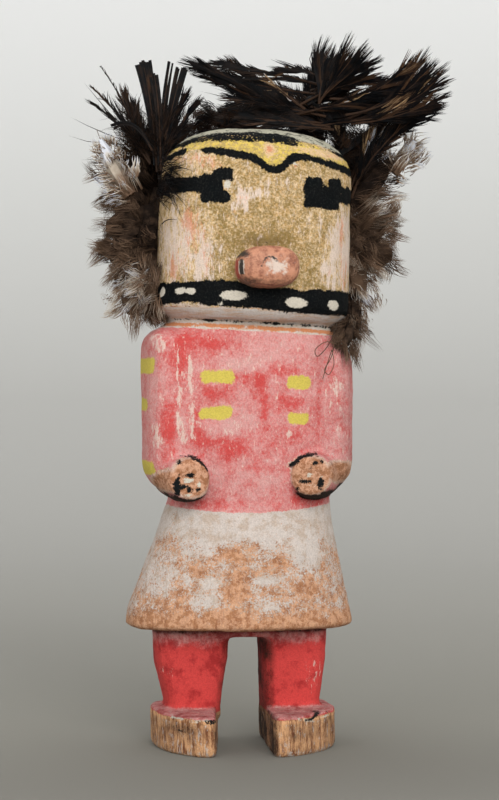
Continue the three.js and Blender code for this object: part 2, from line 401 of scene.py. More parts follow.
@dataclass
class Effects:
    """The node groups that several finishes share."""

    coat: bpy.types.NodeTree = field(init=False)
    timber: bpy.types.NodeTree = field(init=False)
    speckle: bpy.types.NodeTree = field(init=False)
    grime_and_shade: bpy.types.NodeTree = field(init=False)

    def __post_init__(self) -> None:
        """Builds every group."""
        for name in ("coat", "timber", "speckle", "grime_and_shade"):
            setattr(self, name, getattr(self, f"_{name}")())

    @staticmethod
    def _coat() -> bpy.types.NodeTree:
        """A coat of paint inside an edge, brushed unevenly and rubbed away by wear."""
        graph, given, out = new_group(
            "paint_coat",
            {"Edge": 0.0, "Wobble": 0.4, "Soft": 0.15, "Wear": 0.0, "Grit": 1.0, "Veil": 0.06},
            {"Mask": "Float"},
        )
        sway = graph.minus(graph.noise(4.5, 2, 0.5), 0.5)
        fray = graph.minus(graph.noise(0.7, 3, 0.7, seed=2), 0.5)
        moved = graph.math("MULTIPLY_ADD", graph.plus(fray, sway), given["Wobble"], given["Edge"])
        inside = graph.span(moved, given["Soft"], graph.times(given["Soft"], -1.0))
        scuff = graph.noise(5.0, 8, 0.68, seed=4)
        grit = graph.noise(0.8, 4, 0.7, seed=5)
        share = graph.times(given["Grit"], 0.35)
        mixed = graph.node("ShaderNodeMix", {0: share, 2: scuff, 3: grit}).outputs[0]
        level = graph.math("MULTIPLY_ADD", given["Wear"], 1.1, -0.1)
        low, high = graph.minus(level, given["Veil"]), graph.plus(level, given["Veil"])
        kept = graph.span(mixed, low, high)
        graph.feed(out["Mask"], graph.times(inside, kept))
        return graph.tree

    @staticmethod
    def _timber() -> bpy.types.NodeTree:
        """Bare cottonwood root: upright fibres with pale and dark streaks."""
        graph, given, out = new_group(
            "root_timber",
            {"Pale": (0.5, 0.3, 0.15, 1.0), "Dark": (0.2, 0.1, 0.05, 1.0)},
            {"Color": "Color", "Height": "Float"},
        )
        fibre = graph.noise(0.55, 4, 0.65, stretch=(1, 1, 14))
        band = graph.noise(3.2, 4, 0.6, stretch=(1, 1, 1.6), seed=3)
        fleck = graph.noise(0.7, 3, 0.7, stretch=(1, 1, 3), seed=6)
        streak = graph.math("MULTIPLY_ADD", fibre, 0.5, graph.times(band, 0.4))
        share = graph.math("MULTIPLY_ADD", fleck, 0.2, streak)
        graph.feed(out["Color"], graph.fade(given["Dark"], given["Pale"], share, 0.26, 0.74))
        graph.feed(out["Height"], share)
        return graph.tree

    @staticmethod
    def _speckle() -> bpy.types.NodeTree:
        """Small grains of another paint, as thick as the amount asks for."""
        graph, given, out = new_group("paint_speckle", {"Amount": 0.5}, {"Mask": "Float"})
        grain = graph.noise(0.8, 4, 0.8, seed=8)
        drift = graph.noise(3.2, 5, 0.7, seed=9)
        mixed = graph.math("MULTIPLY_ADD", grain, 0.62, graph.times(drift, 0.38))
        level = graph.minus(1.0, given["Amount"])
        mask = graph.span(mixed, graph.minus(level, 0.24), graph.plus(level, 0.24))
        graph.feed(out["Mask"], mask)
        return graph.tree

    @staticmethod
    def _grime_and_shade() -> bpy.types.NodeTree:
        """Darkens a colour in soft clouds and fine specks by an amount: handling marks and stains, and on
        the carving also painted shade.
        """
        graph, given, out = new_group(
            "grime_and_painted_shade",
            {"Color": (0.5, 0.5, 0.5, 1.0), "Dirt": (0.1, 0.07, 0.05, 1.0), "Amount": 0.3},
            {"Color": "Color"},
        )
        cloud = graph.noise(7.0, 5, 0.65, seed=11)
        speck = graph.span(graph.noise(0.6, 2, 0.6, seed=12), 0.72, 1.0)
        cloud = graph.math("MULTIPLY_ADD", cloud, 0.55, 0.15)
        share = graph.times(graph.math("MULTIPLY_ADD", speck, 0.5, cloud), given["Amount"])
        graph.feed(out["Color"], graph.blend(share, given["Color"], given["Dirt"]))
        return graph.tree


def surface(name: str, build: Callable[[Graph, bpy.types.Node], None]) -> bpy.types.Material:
    """Makes a material with one Principled shader.

    Args:
        name: The material's name.
        build: A function that takes the graph and the shader node and wires them.

    Returns:
        The material.
    """
    material = bpy.data.materials.new(name)
    material.use_nodes = True
    graph = Graph(material.node_tree)
    shader = graph.node("ShaderNodeBsdfPrincipled")
    output = graph.node("ShaderNodeOutputMaterial")
    graph.feed(output.inputs["Surface"], shader.outputs["BSDF"])
    build(graph, shader)
    return material


# ------------------------------------------------------------------ painted marks


@dataclass(frozen=True)
class Bar:
    """A painted bar with rounded corners, given by its edges."""

    left: float
    right: float
    low: float
    high: float
    corner: float = 0.8

    def distance(self, across: np.ndarray, up: np.ndarray) -> np.ndarray:
        """Returns how far each place is outside the mark, and less than 0 inside it."""
        x = np.maximum(self.left - across, across - self.right) + self.corner
        y = np.maximum(self.low - up, up - self.high) + self.corner
        outside = np.hypot(np.maximum(x, 0), np.maximum(y, 0))
        return outside + np.minimum(np.maximum(x, y), 0) - self.corner


@dataclass(frozen=True)
class Oval:
    """A painted oval."""

    across: float
    up: float
    half_width: float
    half_height: float

    def distance(self, across: np.ndarray, up: np.ndarray) -> np.ndarray:
        """Returns how far each place is outside the mark, and less than 0 inside it."""
        x = (across - self.across) / self.half_width
        y = (up - self.up) / self.half_height
        return (np.hypot(x, y) - 1) * min(self.half_width, self.half_height)


@dataclass(frozen=True)
class Stroke:
    """A brush stroke along a path, with a thickness at each of its points."""

    path: tuple[tuple[float, float, float], ...]

    def distance(self, across: np.ndarray, up: np.ndarray) -> np.ndarray:
        """Returns how far each place is outside the mark, and less than 0 inside it."""
        best = np.full(across.shape, 1e3)
        for (x0, y0, w0), (x1, y1, w1) in zip(self.path, self.path[1:]):
            dx, dy = x1 - x0, y1 - y0
            along = ((across - x0) * dx + (up - y0) * dy) / (dx * dx + dy * dy)
            along = np.clip(along, 0, 1)
            reach = np.hypot(across - x0 - along * dx, up - y0 - along * dy)
            best = np.minimum(best, reach - (w0 + (w1 - w0) * along) / 2)
        return best


def together(marks: tuple, across: np.ndarray, up: np.ndarray) -> np.ndarray:
    """Joins several marks into one edge."""
    return np.min([mark.distance(across, up) for mark in marks], axis=0)


@dataclass(frozen=True)
class Patch:
    """A soft-edged patch, where a paint is thicker, thinner or another colour."""

    across: float
    up: float
    half_width: float
    half_height: float
    strength: float

    def weight(self, across: np.ndarray, up: np.ndarray) -> np.ndarray:
        """Returns the patch's strength at each place."""
        x = (across - self.across) / self.half_width
        y = (up - self.up) / self.half_height
        return self.strength * np.exp(-(x * x + y * y))


def layered(patches: tuple, across: np.ndarray, up: np.ndarray) -> np.ndarray:
    """Adds several patches."""
    return np.sum([patch.weight(across, up) for patch in patches], axis=0)


def rows(kind: type, *numbers: tuple) -> tuple:
    """Makes one mark or patch from each row of numbers."""
    return tuple(kind(*row) for row in numbers)


@dataclass(frozen=True)
class HeadShape:
    """The upright outline of the head, which unrolls into a strip round it."""

    neck_x: float = 3.2
    neck_z: float = 146.0
    lean: float = math.radians(2.4)
    half_width: float = 33.5
    half_depth: float = 30.0
    power: float = 2.5

    def _rim(self) -> tuple[np.ndarray, np.ndarray, np.ndarray]:
        """Returns angles round the head, the distance round it at each, and the outline there."""
        steps = np.linspace(-np.pi, np.pi, 721)
        side, front = np.sin(steps), np.cos(steps)
        reach = (np.abs(side) ** self.power + np.abs(front) ** self.power) ** (-1 / self.power)
        rim = np.stack((side * reach * self.half_width, -front * reach * self.half_depth), 1)
        run = np.concatenate(([0], np.cumsum(np.linalg.norm(np.diff(rim, axis=0), axis=1))))
        return steps, run - run[len(run) // 2], rim

    def place(self, around: np.ndarray, up: np.ndarray, standoff: float) -> np.ndarray:
        """Finds places on the head.

        Args:
            around: Distances round the head from the middle of the face.
            up: Heights above the neck along the leaning head.
            standoff: How far the places are outside the wood.

        Returns:
            The places in millimetres.
        """
        _, run, rim = self._rim()
        side, deep = between(around, run, rim).T
        grow = 1 + standoff / np.hypot(side, deep)
        side, deep = side * grow, deep * grow
        x = side * math.cos(self.lean) + up * math.sin(self.lean) + self.neck_x
        z = up * math.cos(self.lean) - side * math.sin(self.lean) + self.neck_z
        return np.stack((x, deep, z), -1)

    def unroll(self, points: np.ndarray) -> tuple[np.ndarray, np.ndarray]:
        """Unrolls points round the head.

        Args:
            points: Places in millimetres.

        Returns:
            The distance round the head from the middle of the face, positive to the doll's left,
            and the height above the neck along the leaning head.
        """
        x = points[:, 0] - self.neck_x
        z = points[:, 2] - self.neck_z
        side = x * math.cos(self.lean) - z * math.sin(self.lean)
        height = x * math.sin(self.lean) + z * math.cos(self.lean)
        turn = np.arctan2(side / self.half_width, -points[:, 1] / self.half_depth)
        steps, run, _ = self._rim()
        return np.interp(turn, steps, run), height


# ------------------------------------------------------------------ the carved figure


class Zone(Enum):
    """The numbers that the paint reads from the carved figure's mesh."""

    BLACK = "black_edge"
    YELLOW = "yellow_edge"
    BAR = "bar_edge"
    OVAL = "oval_edge"
    HEAD = "head_edge"
    CROWN = "crown_edge"
    BEVEL = "bevel_edge"
    STRIPE = "stripe_edge"
    SHIRT = "shirt_edge"
    KILT = "kilt_edge"
    LEGS = "legs_edge"
    HAND = "hand_edge"
    # Black marks, and a painted shadow under the hands.
    MARK = "mark_and_shadow_edge"
    FLECK = "fleck_edge"
    WEAR = "paint_wear"
    SCRAPE = "scrape_amount"
    BLUSH = "red_amount"
    OLIVE = "olive_amount"
    # How much darker a place is: real stains and handling marks, and painted shade and shadow.
    DIRT_AND_SHADE = "dirt_and_shade_amount"


AMOUNTS = (Zone.WEAR, Zone.SCRAPE, Zone.BLUSH, Zone.OLIVE, Zone.DIRT_AND_SHADE)


@dataclass(frozen=True)
class FacePaint:
    """The marks on the head, across the unrolled face and up from the neck."""

    brow: Stroke = Stroke(
        (
            (-25.5, 56.2, 1.4), (-22, 56.1, 2.5), (-14, 55.2, 2.7), (-6.8, 54.3, 2.6), (-3.8, 52.6, 2.7),
            (-0.9, 50.6, 2.9), (2.0, 50.1, 2.9), (4.9, 51.5, 2.7), (7.6, 54, 2.8), (9.8, 55.2, 2.8),
            (14.5, 55.2, 2.7), (20, 54.4, 2.7), (26.6, 53.4, 2.8), (36.7, 52.6, 2.8), (60, 53, 2.6),
            (108, 54, 2.6),
        ),
    )
    temple: Stroke = Stroke(((-108, 54, 2.5), (-60, 54.5, 2.6), (-41, 55, 2.8), (-33.5, 56, 2.3)))
    crown: Stroke = Stroke(
        (
            (-108, 58, 2.8), (-45, 58.4, 2.8), (-35, 59.7, 3.0), (-28, 60.9, 3.2), (-7, 61.7, 3.8),
            (9, 61.2, 3.6), (14, 60.6, 2.2), (22, 59.8, 1.0), (28, 58.4, 1.6), (37, 57.4, 2.2),
            (108, 58, 2.7),
        ),
    )
    eyes: tuple = rows(
        Bar,
        (-62, -20.5, 41.6, 47.2, 0.8), (-22.8, -15.6, 39.2, 48, 0.9), (-20, -12.2, 45.8, 49.8, 0.8),
        (-23.6, -13, 38.3, 42.3, 1.6), (12.4, 19.9, 38.5, 48.9, 1.6), (19, 22.9, 38.2, 46.8, 0.4),
        (21.6, 28.6, 38, 48.8, 1.5), (27, 64, 41.2, 47, 0.8),
    )
    band: Stroke = Stroke(
        (
            (-108, 7, 8), (-60, 7, 8), (-39, 7.6, 7.6), (-26, 8.3, 7.3), (-15, 8.2, 8.8), (-3, 7.6, 8.4),
            (9.5, 6.6, 7.6), (21, 6.7, 8.2), (37, 7.2, 8.4), (60, 7, 8), (108, 7, 8),
        ),
    )
    ovals: tuple = rows(
        Oval,
        (-25.8, 8.5, 2, 1.1), (-29.4, 8.7, 2.3, 1.25), (-38.6, 8.2, 1.7, 1.7), (-10.3, 7.4, 4.2, 1.8),
        (-14.9, 4.6, 0.9, 0.5), (11, 6.1, 3.9, 1.75), (26.9, 6.2, 3.0, 1.85), (-50.5, 7.6, 3.4, 1.8),
        (49, 7, 3.6, 1.8), (-70, 7.4, 3.8, 1.8), (69, 7.2, 3.6, 1.8), (-88, 7, 3.8, 1.8),
        (88, 7.2, 3.6, 1.8), (-106, 7, 3.8, 1.8), (106, 7, 3.8, 1.8),
    )
    # Olive speckle. The patch at (0.3, 26.8) along the top of the snout is partly olive speckle and
    # partly painted shadow.
    olive: tuple = rows(
        Patch,
        (2, 35, 16, 9, 0.01), (0.3, 26.8, 10, 3.0, 0.27), (-12, 22, 5, 9, 0.1), (15, 20, 4, 7, 0.06),
        (-17, 36, 8, 3, 0.08), (18, 34, 8, 4, 0.05), (0, 49, 30, 5, 0.02), (-22, 12.6, 14, 1.4, 0.2),
        (18, 11.8, 14, 1.2, 0.1), (-31, 24, 10, 11, -0.2), (30, 24, 6, 12, -0.12),
        (-28, 51.5, 9, 4, -0.1), (60, 28, 25, 20, -0.1), (-60, 28, 25, 20, -0.1),
    )
    pink: tuple = rows(
        Patch,
        (-28, 53.2, 8, 2.6, 0.5), (-20, 51, 4, 2.6, 0.45), (-9.3, 40, 2.4, 5, 0.34),
        (-29, 34, 3, 5, 0.66), (-26, 27, 4, 7, 0.55), (-20, 20, 3, 8, 0.45), (-35, 18, 6, 7, 0.5),
        (-33, 14, 3, 4, 0.4), (30, 30, 2.4, 7, 0.6), (34, 17, 4, 8, 0.5), (24, 17, 2, 6, 0.42),
        (2, 26, 16, 12, 0.03), (0.1, 57, 1.9, 2.2, 1.0), (9, 52.2, 1.6, 1, 0.7), (17, 44, 6, 3, 0.15),
        (26, 57, 9, 1.6, 0.6), (14, 58, 5, 1.2, 0.35), (-37, 55, 4, 3, 0.4),
    )
    pale: tuple = rows(
        Patch,
        (-32, 24, 10, 13, 0.58), (-20, 18, 5, 8, 0.5), (-27, 51.5, 10, 3.6, 0.34),
        (-3.6, 42, 2.8, 2.4, 0.75), (-9.3, 40, 2.4, 5, 0.7), (-13.6, 44.6, 2, 2.2, 0.5),
        (4, 46, 5, 3, 0.2), (34, 26, 9, 15, 0.7), (24, 17, 4, 8, 0.45), (17, 33, 3, 3, 0.3),
        (20, 58, 9, 2, 0.45), (62, 28, 22, 18, 0.3), (-62, 28, 22, 18, 0.3),
    )
    white: tuple = rows(Oval, (-14.2, 44.5, 1.1, 1.5), (9.2, 52.6, 0.9, 0.6))
    # A painted shadow where the top of the snout meets the face.
    snout_shadow: Patch = Patch(0.3, 25.6, 8.5, 2.4, 0.7)


@dataclass(frozen=True)
class BodyPaint:
    """The marks and patches below the head, across and up the front."""

    bars: tuple = rows(
        Bar,
        (-17, -5.6, 124.6, 129, 1.6), (-17.3, -6.2, 112.7, 116.8, 1.4), (12.6, 20.6, 122.6, 127, 1.6),
        (13, 20, 110.7, 114.6, 1.4),
    )
    arm_bars: tuple = rows(
        Bar,
        (-17, 2, 128, 133.2, 1.5), (-13, 2, 115.4, 119.6, 1.4), (-17, 2, 93.4, 98.4, 1.5),
    )
    # Stronger and weaker red; the narrow patch at x 23.6 is painted shade in the groove between the arm
    # and the body.
    red: tuple = rows(
        Patch,
        (-14.5, 138.5, 8.5, 4.2, 0.34), (-24, 132, 3.4, 9, 0.41), (-28, 110, 2.8, 8, 0.41),
        (-12.5, 121.5, 6, 3, 0.31), (-2.5, 126.5, 6, 2, 0.26), (3, 124.5, 2.2, 4, 0.3),
        (4.5, 117, 2, 6, 0.3), (12, 128.5, 9, 2, 0.21), (13.5, 118.5, 5, 2.6, 0.31),
        (-11, 105, 10, 3, 0.26), (-6, 102, 5, 3, 0.26), (16, 107, 7, 4, 0.18), (-18, 110, 2.5, 7, 0.22),
        (-12, 84, 8, 1.8, 0.22), (20, 85, 8, 2.4, 0.26), (4, 100, 12, 8, 0.07), (10, 139, 13, 6, -0.12),
        (-3, 131, 9, 2.4, -0.3), (-6, 110, 7, 3.6, -0.28), (2, 92, 9, 4, -0.08), (-31, 122, 3, 8, -0.1),
        (23.6, 120, 1, 15, 0.22),
    )
    scars: tuple = (
        Stroke(
            (
                (-25.5, 138, 1.0), (-24.6, 130, 0.7), (-24.2, 120, 0.8), (-24.8, 113, 1.8),
                (-22.4, 106, 3.2),
            ),
        ),
        Stroke(
            (
                (-20.6, 134, 0.7), (-20.2, 127, 1.3), (-19.6, 118, 0.9), (-19.8, 110, 1.3),
                (-19.2, 105, 0.7),
            ),
        ),
        Stroke(((-31.5, 110, 2.4), (-31, 104, 2.8))), Stroke(((-31, 139.5, 4), (-30, 136.5, 3))),
        Oval(13, 107.5, 1.3, 1.2),
    )
    scrapes: tuple = rows(
        Patch,
        (-22, 122, 4, 16, 0.16), (0, 131.5, 8, 2.4, 0.22), (-6, 109, 8, 3, 0.2), (9, 124, 1.2, 5, 0.2),
        (30, 118, 3, 14, 0.25),
    )
    kilt_bare: tuple = rows(
        Patch,
        (-5.6, 67.5, 10, 3.4, 0.32), (-5, 57, 4.6, 8, 0.34), (-17, 62.5, 4, 3, 0.28),
        (9.5, 63.7, 5.5, 4, 0.3), (-27, 69, 5, 5, 0.24), (-25, 50.4, 6, 3, 0.2), (20, 55.4, 7, 4, 0.24),
        (0, 47.5, 30, 2, 0.14), (30, 66, 4, 5, 0.16), (-15, 57.5, 5, 3.4, -0.2),
        (-15, 51, 6.5, 2.4, -0.28), (6.3, 58, 5.5, 1.8, -0.28), (6, 49, 3.4, 2, -0.26),
        (-31, 59, 4, 6, -0.14), (19, 67.5, 5, 6, -0.16), (0, 77, 40, 4, -0.1),
    )
    marks: tuple = (
        Stroke(((-24, 100.4, 0.8), (-20.6, 99.9, 1.2), (-17.6, 98.7, 1.2), (-14.7, 95.6, 0.9))),
        Oval(-24.7, 98, 1, 0.8), Stroke(((-24.8, 93.9, 1.2), (-25.7, 91.2, 2.4), (-25.4, 87.8, 2))),
        Oval(-21.4, 93.8, 1.5, 0.9), Oval(-23.4, 90, 1.8, 0.9), Oval(-21.5, 88.9, 0.9, 1),
        Oval(-18.4, 89, 0.8, 0.6),
        Stroke(((13.8, 96.6, 0.8), (16.6, 99.4, 1.2), (19.5, 100.6, 1.2), (22.4, 100.7, 0.8))),
        Oval(21.4, 97.6, 0.9, 0.8), Oval(19.5, 95.9, 0.5, 0.8), Oval(23.5, 98.1, 0.5, 0.5),
        Oval(18.5, 91.7, 2.1, 0.8), Oval(23, 91, 1.2, 1.9), Oval(15.9, 88.8, 0.8, 0.6),
        Oval(-24, 8.2, 1.2, 0.6), Oval(-14.9, 12, 1.7, 0.5),
        Stroke(((17.2, 11.6, 0.4), (19.6, 11.8, 0.9), (22, 12.9, 1.2), (24, 13.8, 0.7))),
        Oval(27, 13.2, 0.6, 0.9),
    )
    flecks: tuple = (
        Oval(-21.9, 92, 2, 0.9), Oval(-18.1, 90.9, 0.7, 1.1), Oval(-22, 87.4, 1, 0.5),
        Stroke(((-28, 12.6, 0.5), (-21, 11.9, 0.8), (-15, 12.4, 0.5))),
        Stroke(((15, 12.2, 0.7), (21, 11.0, 0.8), (28, 12.0, 0.5))), Oval(19.3, 93.7, 1.4, 0.9),
        Oval(23.2, 93.6, 0.6, 0.6), Oval(19.6, 90.3, 1.4, 0.4),
    )
    leg_chips: tuple = rows(Patch, (24, 25, 4, 8, 0.56), (-27, 27, 3, 3, 0.5), (-18, 30, 2, 2, 0.4))
    foot_blots: tuple = rows(Patch, (-24.5, 8.4, 4, 2, 0.9), (19, 9, 9, 2.5, 0.4), (13.5, 6.4, 1, 1, 0.9))


@dataclass
class CarvedFigure:
    """The one-piece carving with all its paint."""

    frame: DollFrame
    cell: float = 0.86
    rounding: int = 5
    head: HeadShape = HeadShape()
    face: FacePaint = FacePaint()
    body: BodyPaint = BodyPaint()
    kilt_low: float = 40.9
    kilt_high: float = 81.8
    hem_high: float = 45.6
    sole_high: float = 12.3
    shirt_high: float = 142.4
    hands: tuple = ((-20.6, 93.0), (19.6, 93.4))

    def build(self, cad: bpy.types.Object) -> bpy.types.Object:
        """Models the carving.

        Args:
            cad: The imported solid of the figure.

        Returns:
            The new piece.
        """
        piece = carve("carved_wood", cad, self.cell, self.rounding)
        roughen(piece, 1, (22, 0.9), (7, 0.4), (2.2, 0.2))
        self._flare(piece)
        self._paint(piece)
        bpy.ops.object.shade_smooth()
        return piece

    def _flare(self, piece: bpy.types.Object) -> None:
        """Widens the head's lower right corner, the kilt's right side and its hem a little."""
        points = self.frame.to_doll(read_points(piece.data))
        x, y, z = points.T
        corner = np.exp(-(((z - 152) / 6) ** 2)) * ease(-22, -30, x) * ease(8, -8, y)
        skirt = ease(-6, -16, x) * ease(41.6, 49, z) * ease(87, 80, z)
        points[:, 0] -= 1.8 * corner + 1.2 * skirt
        hem = ease(46, 42, z) * ease(40.2, 41.2, z)
        points[:, :2] *= 1 + 0.015 * hem[:, None]
        write_points(piece.data, self.frame.to_scene(points))

    def _paint(self, piece: bpy.types.Object) -> None:
        """Stores the edges and patches of every paint on the mesh."""
        mesh = piece.data
        points = self.frame.to_doll(read_points(mesh))
        normals = read_points(mesh, "normal")
        values = {zone: np.full(len(points), 0.0 if zone in AMOUNTS else OFF) for zone in Zone}
        self._paint_head(points, values)
        self._paint_shirt(points, normals, values)
        self._paint_kilt(points, values)
        self._paint_legs(points, normals, values)
        for zone, numbers in values.items():
            write_attribute(mesh, zone.value, numbers)

    def _paint_head(self, points: np.ndarray, values: dict) -> None:
        """Paints the face, the crown, the band under the snout and a painted shadow along the top of the
        snout.
        """
        around, up = self.head.unroll(points)
        off_head = np.maximum(-0.2 - up, 0) * 4
        band = self.face.band.distance(around, up)
        lines = together((self.face.brow, self.face.temple, self.face.crown), around, up)
        eyes = together(self.face.eyes, around, up)
        values[Zone.BLACK] = np.minimum(np.minimum(band, lines), eyes) + off_head
        values[Zone.OVAL] = together(self.face.ovals, around, up) + off_head
        values[Zone.FLECK] = together(self.face.white, around, up) + off_head
        brow_height = np.interp(around, *np.array(self.face.brow.path).T[:2])
        crown_height = np.interp(around, *np.array(self.face.crown.path).T[:2])
        values[Zone.YELLOW] = np.maximum(brow_height - up, up - crown_height) + off_head
        values[Zone.CROWN] = crown_height + 0.6 - up
        values[Zone.HEAD] = 3.4 - up
        values[Zone.BEVEL] = np.maximum(-4.4 - up, up - 3.4)
        on_face = ease(2, 4, up)
        values[Zone.OLIVE] = on_face * (0.5 + layered(self.face.olive, around, up))
        # Painted shadow along the top of the snout.
        values[Zone.DIRT_AND_SHADE] += on_face * self.face.snout_shadow.weight(around, up)
        values[Zone.BLUSH] = on_face * layered(self.face.pink, around, up)
        pale = layered(self.face.pale, around, up)
        values[Zone.SCRAPE] = on_face * pale + 0.45 * ease(5.4, 4, up)
        fade = ease(11, 16, around) * ease(32, 25, around) * ease(56.5, 57.5, up)
        values[Zone.WEAR] = on_face * (0.1 + 0.32 * fade + 0.21 * ease(56, 60, up))

    def _waist(self, x: np.ndarray) -> np.ndarray:
        """Returns the height of the line between the shirt and the kilt, which dips in front."""
        return self.kilt_high - 1.2 + 0.003 * x**2

    def _paint_shirt(self, points: np.ndarray, normals: np.ndarray, values: dict) -> None:
        """Paints the shirt, its yellow bars, the neck stripe and the hands, and a painted shadow and
        painted shade under the hands.
        """
        x, y, z = points.T
        top = self.shirt_high - 0.05 * x
        waist = self._waist(x)
        values[Zone.SHIRT] = np.maximum(waist + 0.2 - z, z - top)
        values[Zone.STRIPE] = np.abs(z - top - 1.2) - 0.7
        chest = np.where((z > 84) & (z < 144), 0, OFF)
        bars = together(self.body.bars, x, z) + np.where(y < -8, 0, OFF)
        arm_bars = together(self.body.arm_bars, y, z) + np.where(x < -24, 0, OFF)
        values[Zone.BAR] = np.minimum(bars, arm_bars) + chest
        shirt = (z > waist) & (z < 145)
        facing = ease(-4, -14, y)
        scar = ease(0.5, -0.3, together(self.body.scars, x, z))
        amounts = (
            (Zone.BLUSH, 0.36 + facing * layered(self.body.red, x, z)),
            (Zone.WEAR, 0.08),
            (Zone.SCRAPE, 0.06 + facing * (layered(self.body.scrapes, x, z) + 0.42 * scar)),
        )
        for zone, amount in amounts:
            values[zone] = np.where(shirt, amount, values[zone])
        hand = np.full(len(points), OFF)
        # Painted shadow: a black line along the downward faces of the hands.
        under_hand = (y < -9) & (z > 80) & (z < 91) & (np.abs(x) > 10)
        under = (normals[:, 2] + 0.62) * 4 + np.where(under_hand, 0, OFF)
        for hand_x, hand_z in self.hands:
            side = np.sign(hand_x)
            reach = np.hypot(x - hand_x, z - hand_z) - 7.4
            wide = 1.2 + 0.35 * (side + 1)
            beside, above = (x - hand_x - side * 6 * wide) / wide, (z - hand_z - side * 1.2) / 0.95
            wrist = np.hypot(beside, above) - 5
            palm = np.maximum(reach, (y + 22) * 0.8)
            bare = np.minimum(palm, wrist + np.where(y < 1.5 * side - 4.5, 0.6, OFF))
            hand = np.minimum(hand, bare)
            values[Zone.WEAR] = np.where((wrist < 2) & (palm > 0), 0.3, values[Zone.WEAR])
        values[Zone.HAND] = hand
        near = np.where((y < -19) & ((z > 80) | (z < 20)), 0, OFF)
        values[Zone.MARK] = np.minimum(together(self.body.marks, x, z) + near, under)
        front = np.where(y < -10, 0, OFF)
        values[Zone.MARK] = np.minimum(values[Zone.MARK], np.abs(z - top - 2.9) - 0.2 + front)
        line = np.abs(z - top - 2.3) - 0.3 + front
        flecks = np.minimum(together(self.body.flecks, x, z) + near, line)
        values[Zone.FLECK] = np.minimum(values[Zone.FLECK], flecks)
        # The shirt is darker towards its +X side.
        values[Zone.DIRT_AND_SHADE] += np.where(shirt, 0.3 * ease(14, 33, x), 0)
        # Painted shade on the downward faces under the forearms and hands.
        below = ease(-0.35, -0.75, normals[:, 2]) * ease(80, 82, z) * ease(92, 89, z)
        values[Zone.DIRT_AND_SHADE] += 1.4 * below * ease(12, 14, np.abs(x))

    def _paint_kilt(self, points: np.ndarray, values: dict) -> None:
        """Paints the kilt, which is rubbed down to the wood low on its front and at its hem, and a dark
        band just under it, a painted shadow on the tops of the legs.
        """
        x, y, z = points.T
        values[Zone.KILT] = np.maximum(self.kilt_low - z, z - self.kilt_high - 3)
        kilt = (z > self.kilt_low) & (z < self._waist(x))
        facing = ease(4, -8, y)
        ripple = 0.9 * np.sin(x / 3.7 + 1) + 0.7 * np.sin(x / 1.7) + 0.8 * np.sin(x / 9)
        hem = ease(self.hem_high + 2.5, self.hem_high - 2, z + ripple)
        bare = facing * layered(self.body.kilt_bare, x, z)
        worn = 0.27 + 0.3 * ease(78, 52, z) + bare + 0.5 * hem
        values[Zone.WEAR] = np.where(kilt, worn, values[Zone.WEAR])
        values[Zone.SCRAPE] = np.where(kilt, 0, values[Zone.SCRAPE])
        # The kilt is darker towards the lower edge of its hem.
        values[Zone.DIRT_AND_SHADE] += 0.3 * ease(43.2, 41.2, z) * kilt
        # Painted shadow: a dark band on the legs just under the kilt.
        values[Zone.DIRT_AND_SHADE] += 1.6 * ease(38.8, 39.9, z) * ease(41.2, 40.8, z)

    def _paint_legs(self, points: np.ndarray, normals: np.ndarray, values: dict) -> None:
        """Paints the legs, stains and scuffs the bare wood of the feet, and paints shade on the inner
        sides of the legs and feet.
        """
        x, y, z = points.T
        inward = -normals[:, 0] * np.sign(x)
        values[Zone.LEGS] = np.maximum(self.sole_high - z, z - self.kilt_low)
        legs = (z > self.sole_high - 1) & (z < self.kilt_low)
        instep = ease(15, 13.4, z) * ease(0.1, 0.5, normals[:, 2])
        red = (1.05 - 0.72 * ease(32, 38.5, z)) * (1 - 0.7 * instep)
        red += 0.25 * ease(0.2, 0.8, normals[:, 0])
        values[Zone.BLUSH] = np.where(legs, red, values[Zone.BLUSH])
        values[Zone.WEAR] = np.where(legs, 0.06 + 0.18 * instep, values[Zone.WEAR])
        chips = layered(self.body.leg_chips, x, z) * (y < -5)
        values[Zone.SCRAPE] = np.where(legs, chips - 0.25 + 0.42 * instep, values[Zone.SCRAPE])
        # The inner sides of the legs and feet are darker: painted shade, and on the foot at +X also a
        # real dark stain.
        low = z < self.kilt_low - 1
        values[Zone.DIRT_AND_SHADE] += np.where(low, (0.7 + 0.6 * (x > 0)) * ease(0.35, 0.85, inward), 0)
        values[Zone.DIRT_AND_SHADE] += np.where(legs, 0.5 * instep, 0)
        feet = (z < self.sole_high + 0.6) & ~legs
        blotch = layered(self.body.foot_blots, x, z)
        values[Zone.DIRT_AND_SHADE] += np.where(feet, 0.35 + blotch + 0.4 * ease(24, 29, x), 0)
        edges = ease(9.8, 12, z) + 0.7 * ease(2.6, 0.8, z)
        values[Zone.SCRAPE] = np.where(feet, 0.26 + 0.34 * edges, values[Zone.SCRAPE])


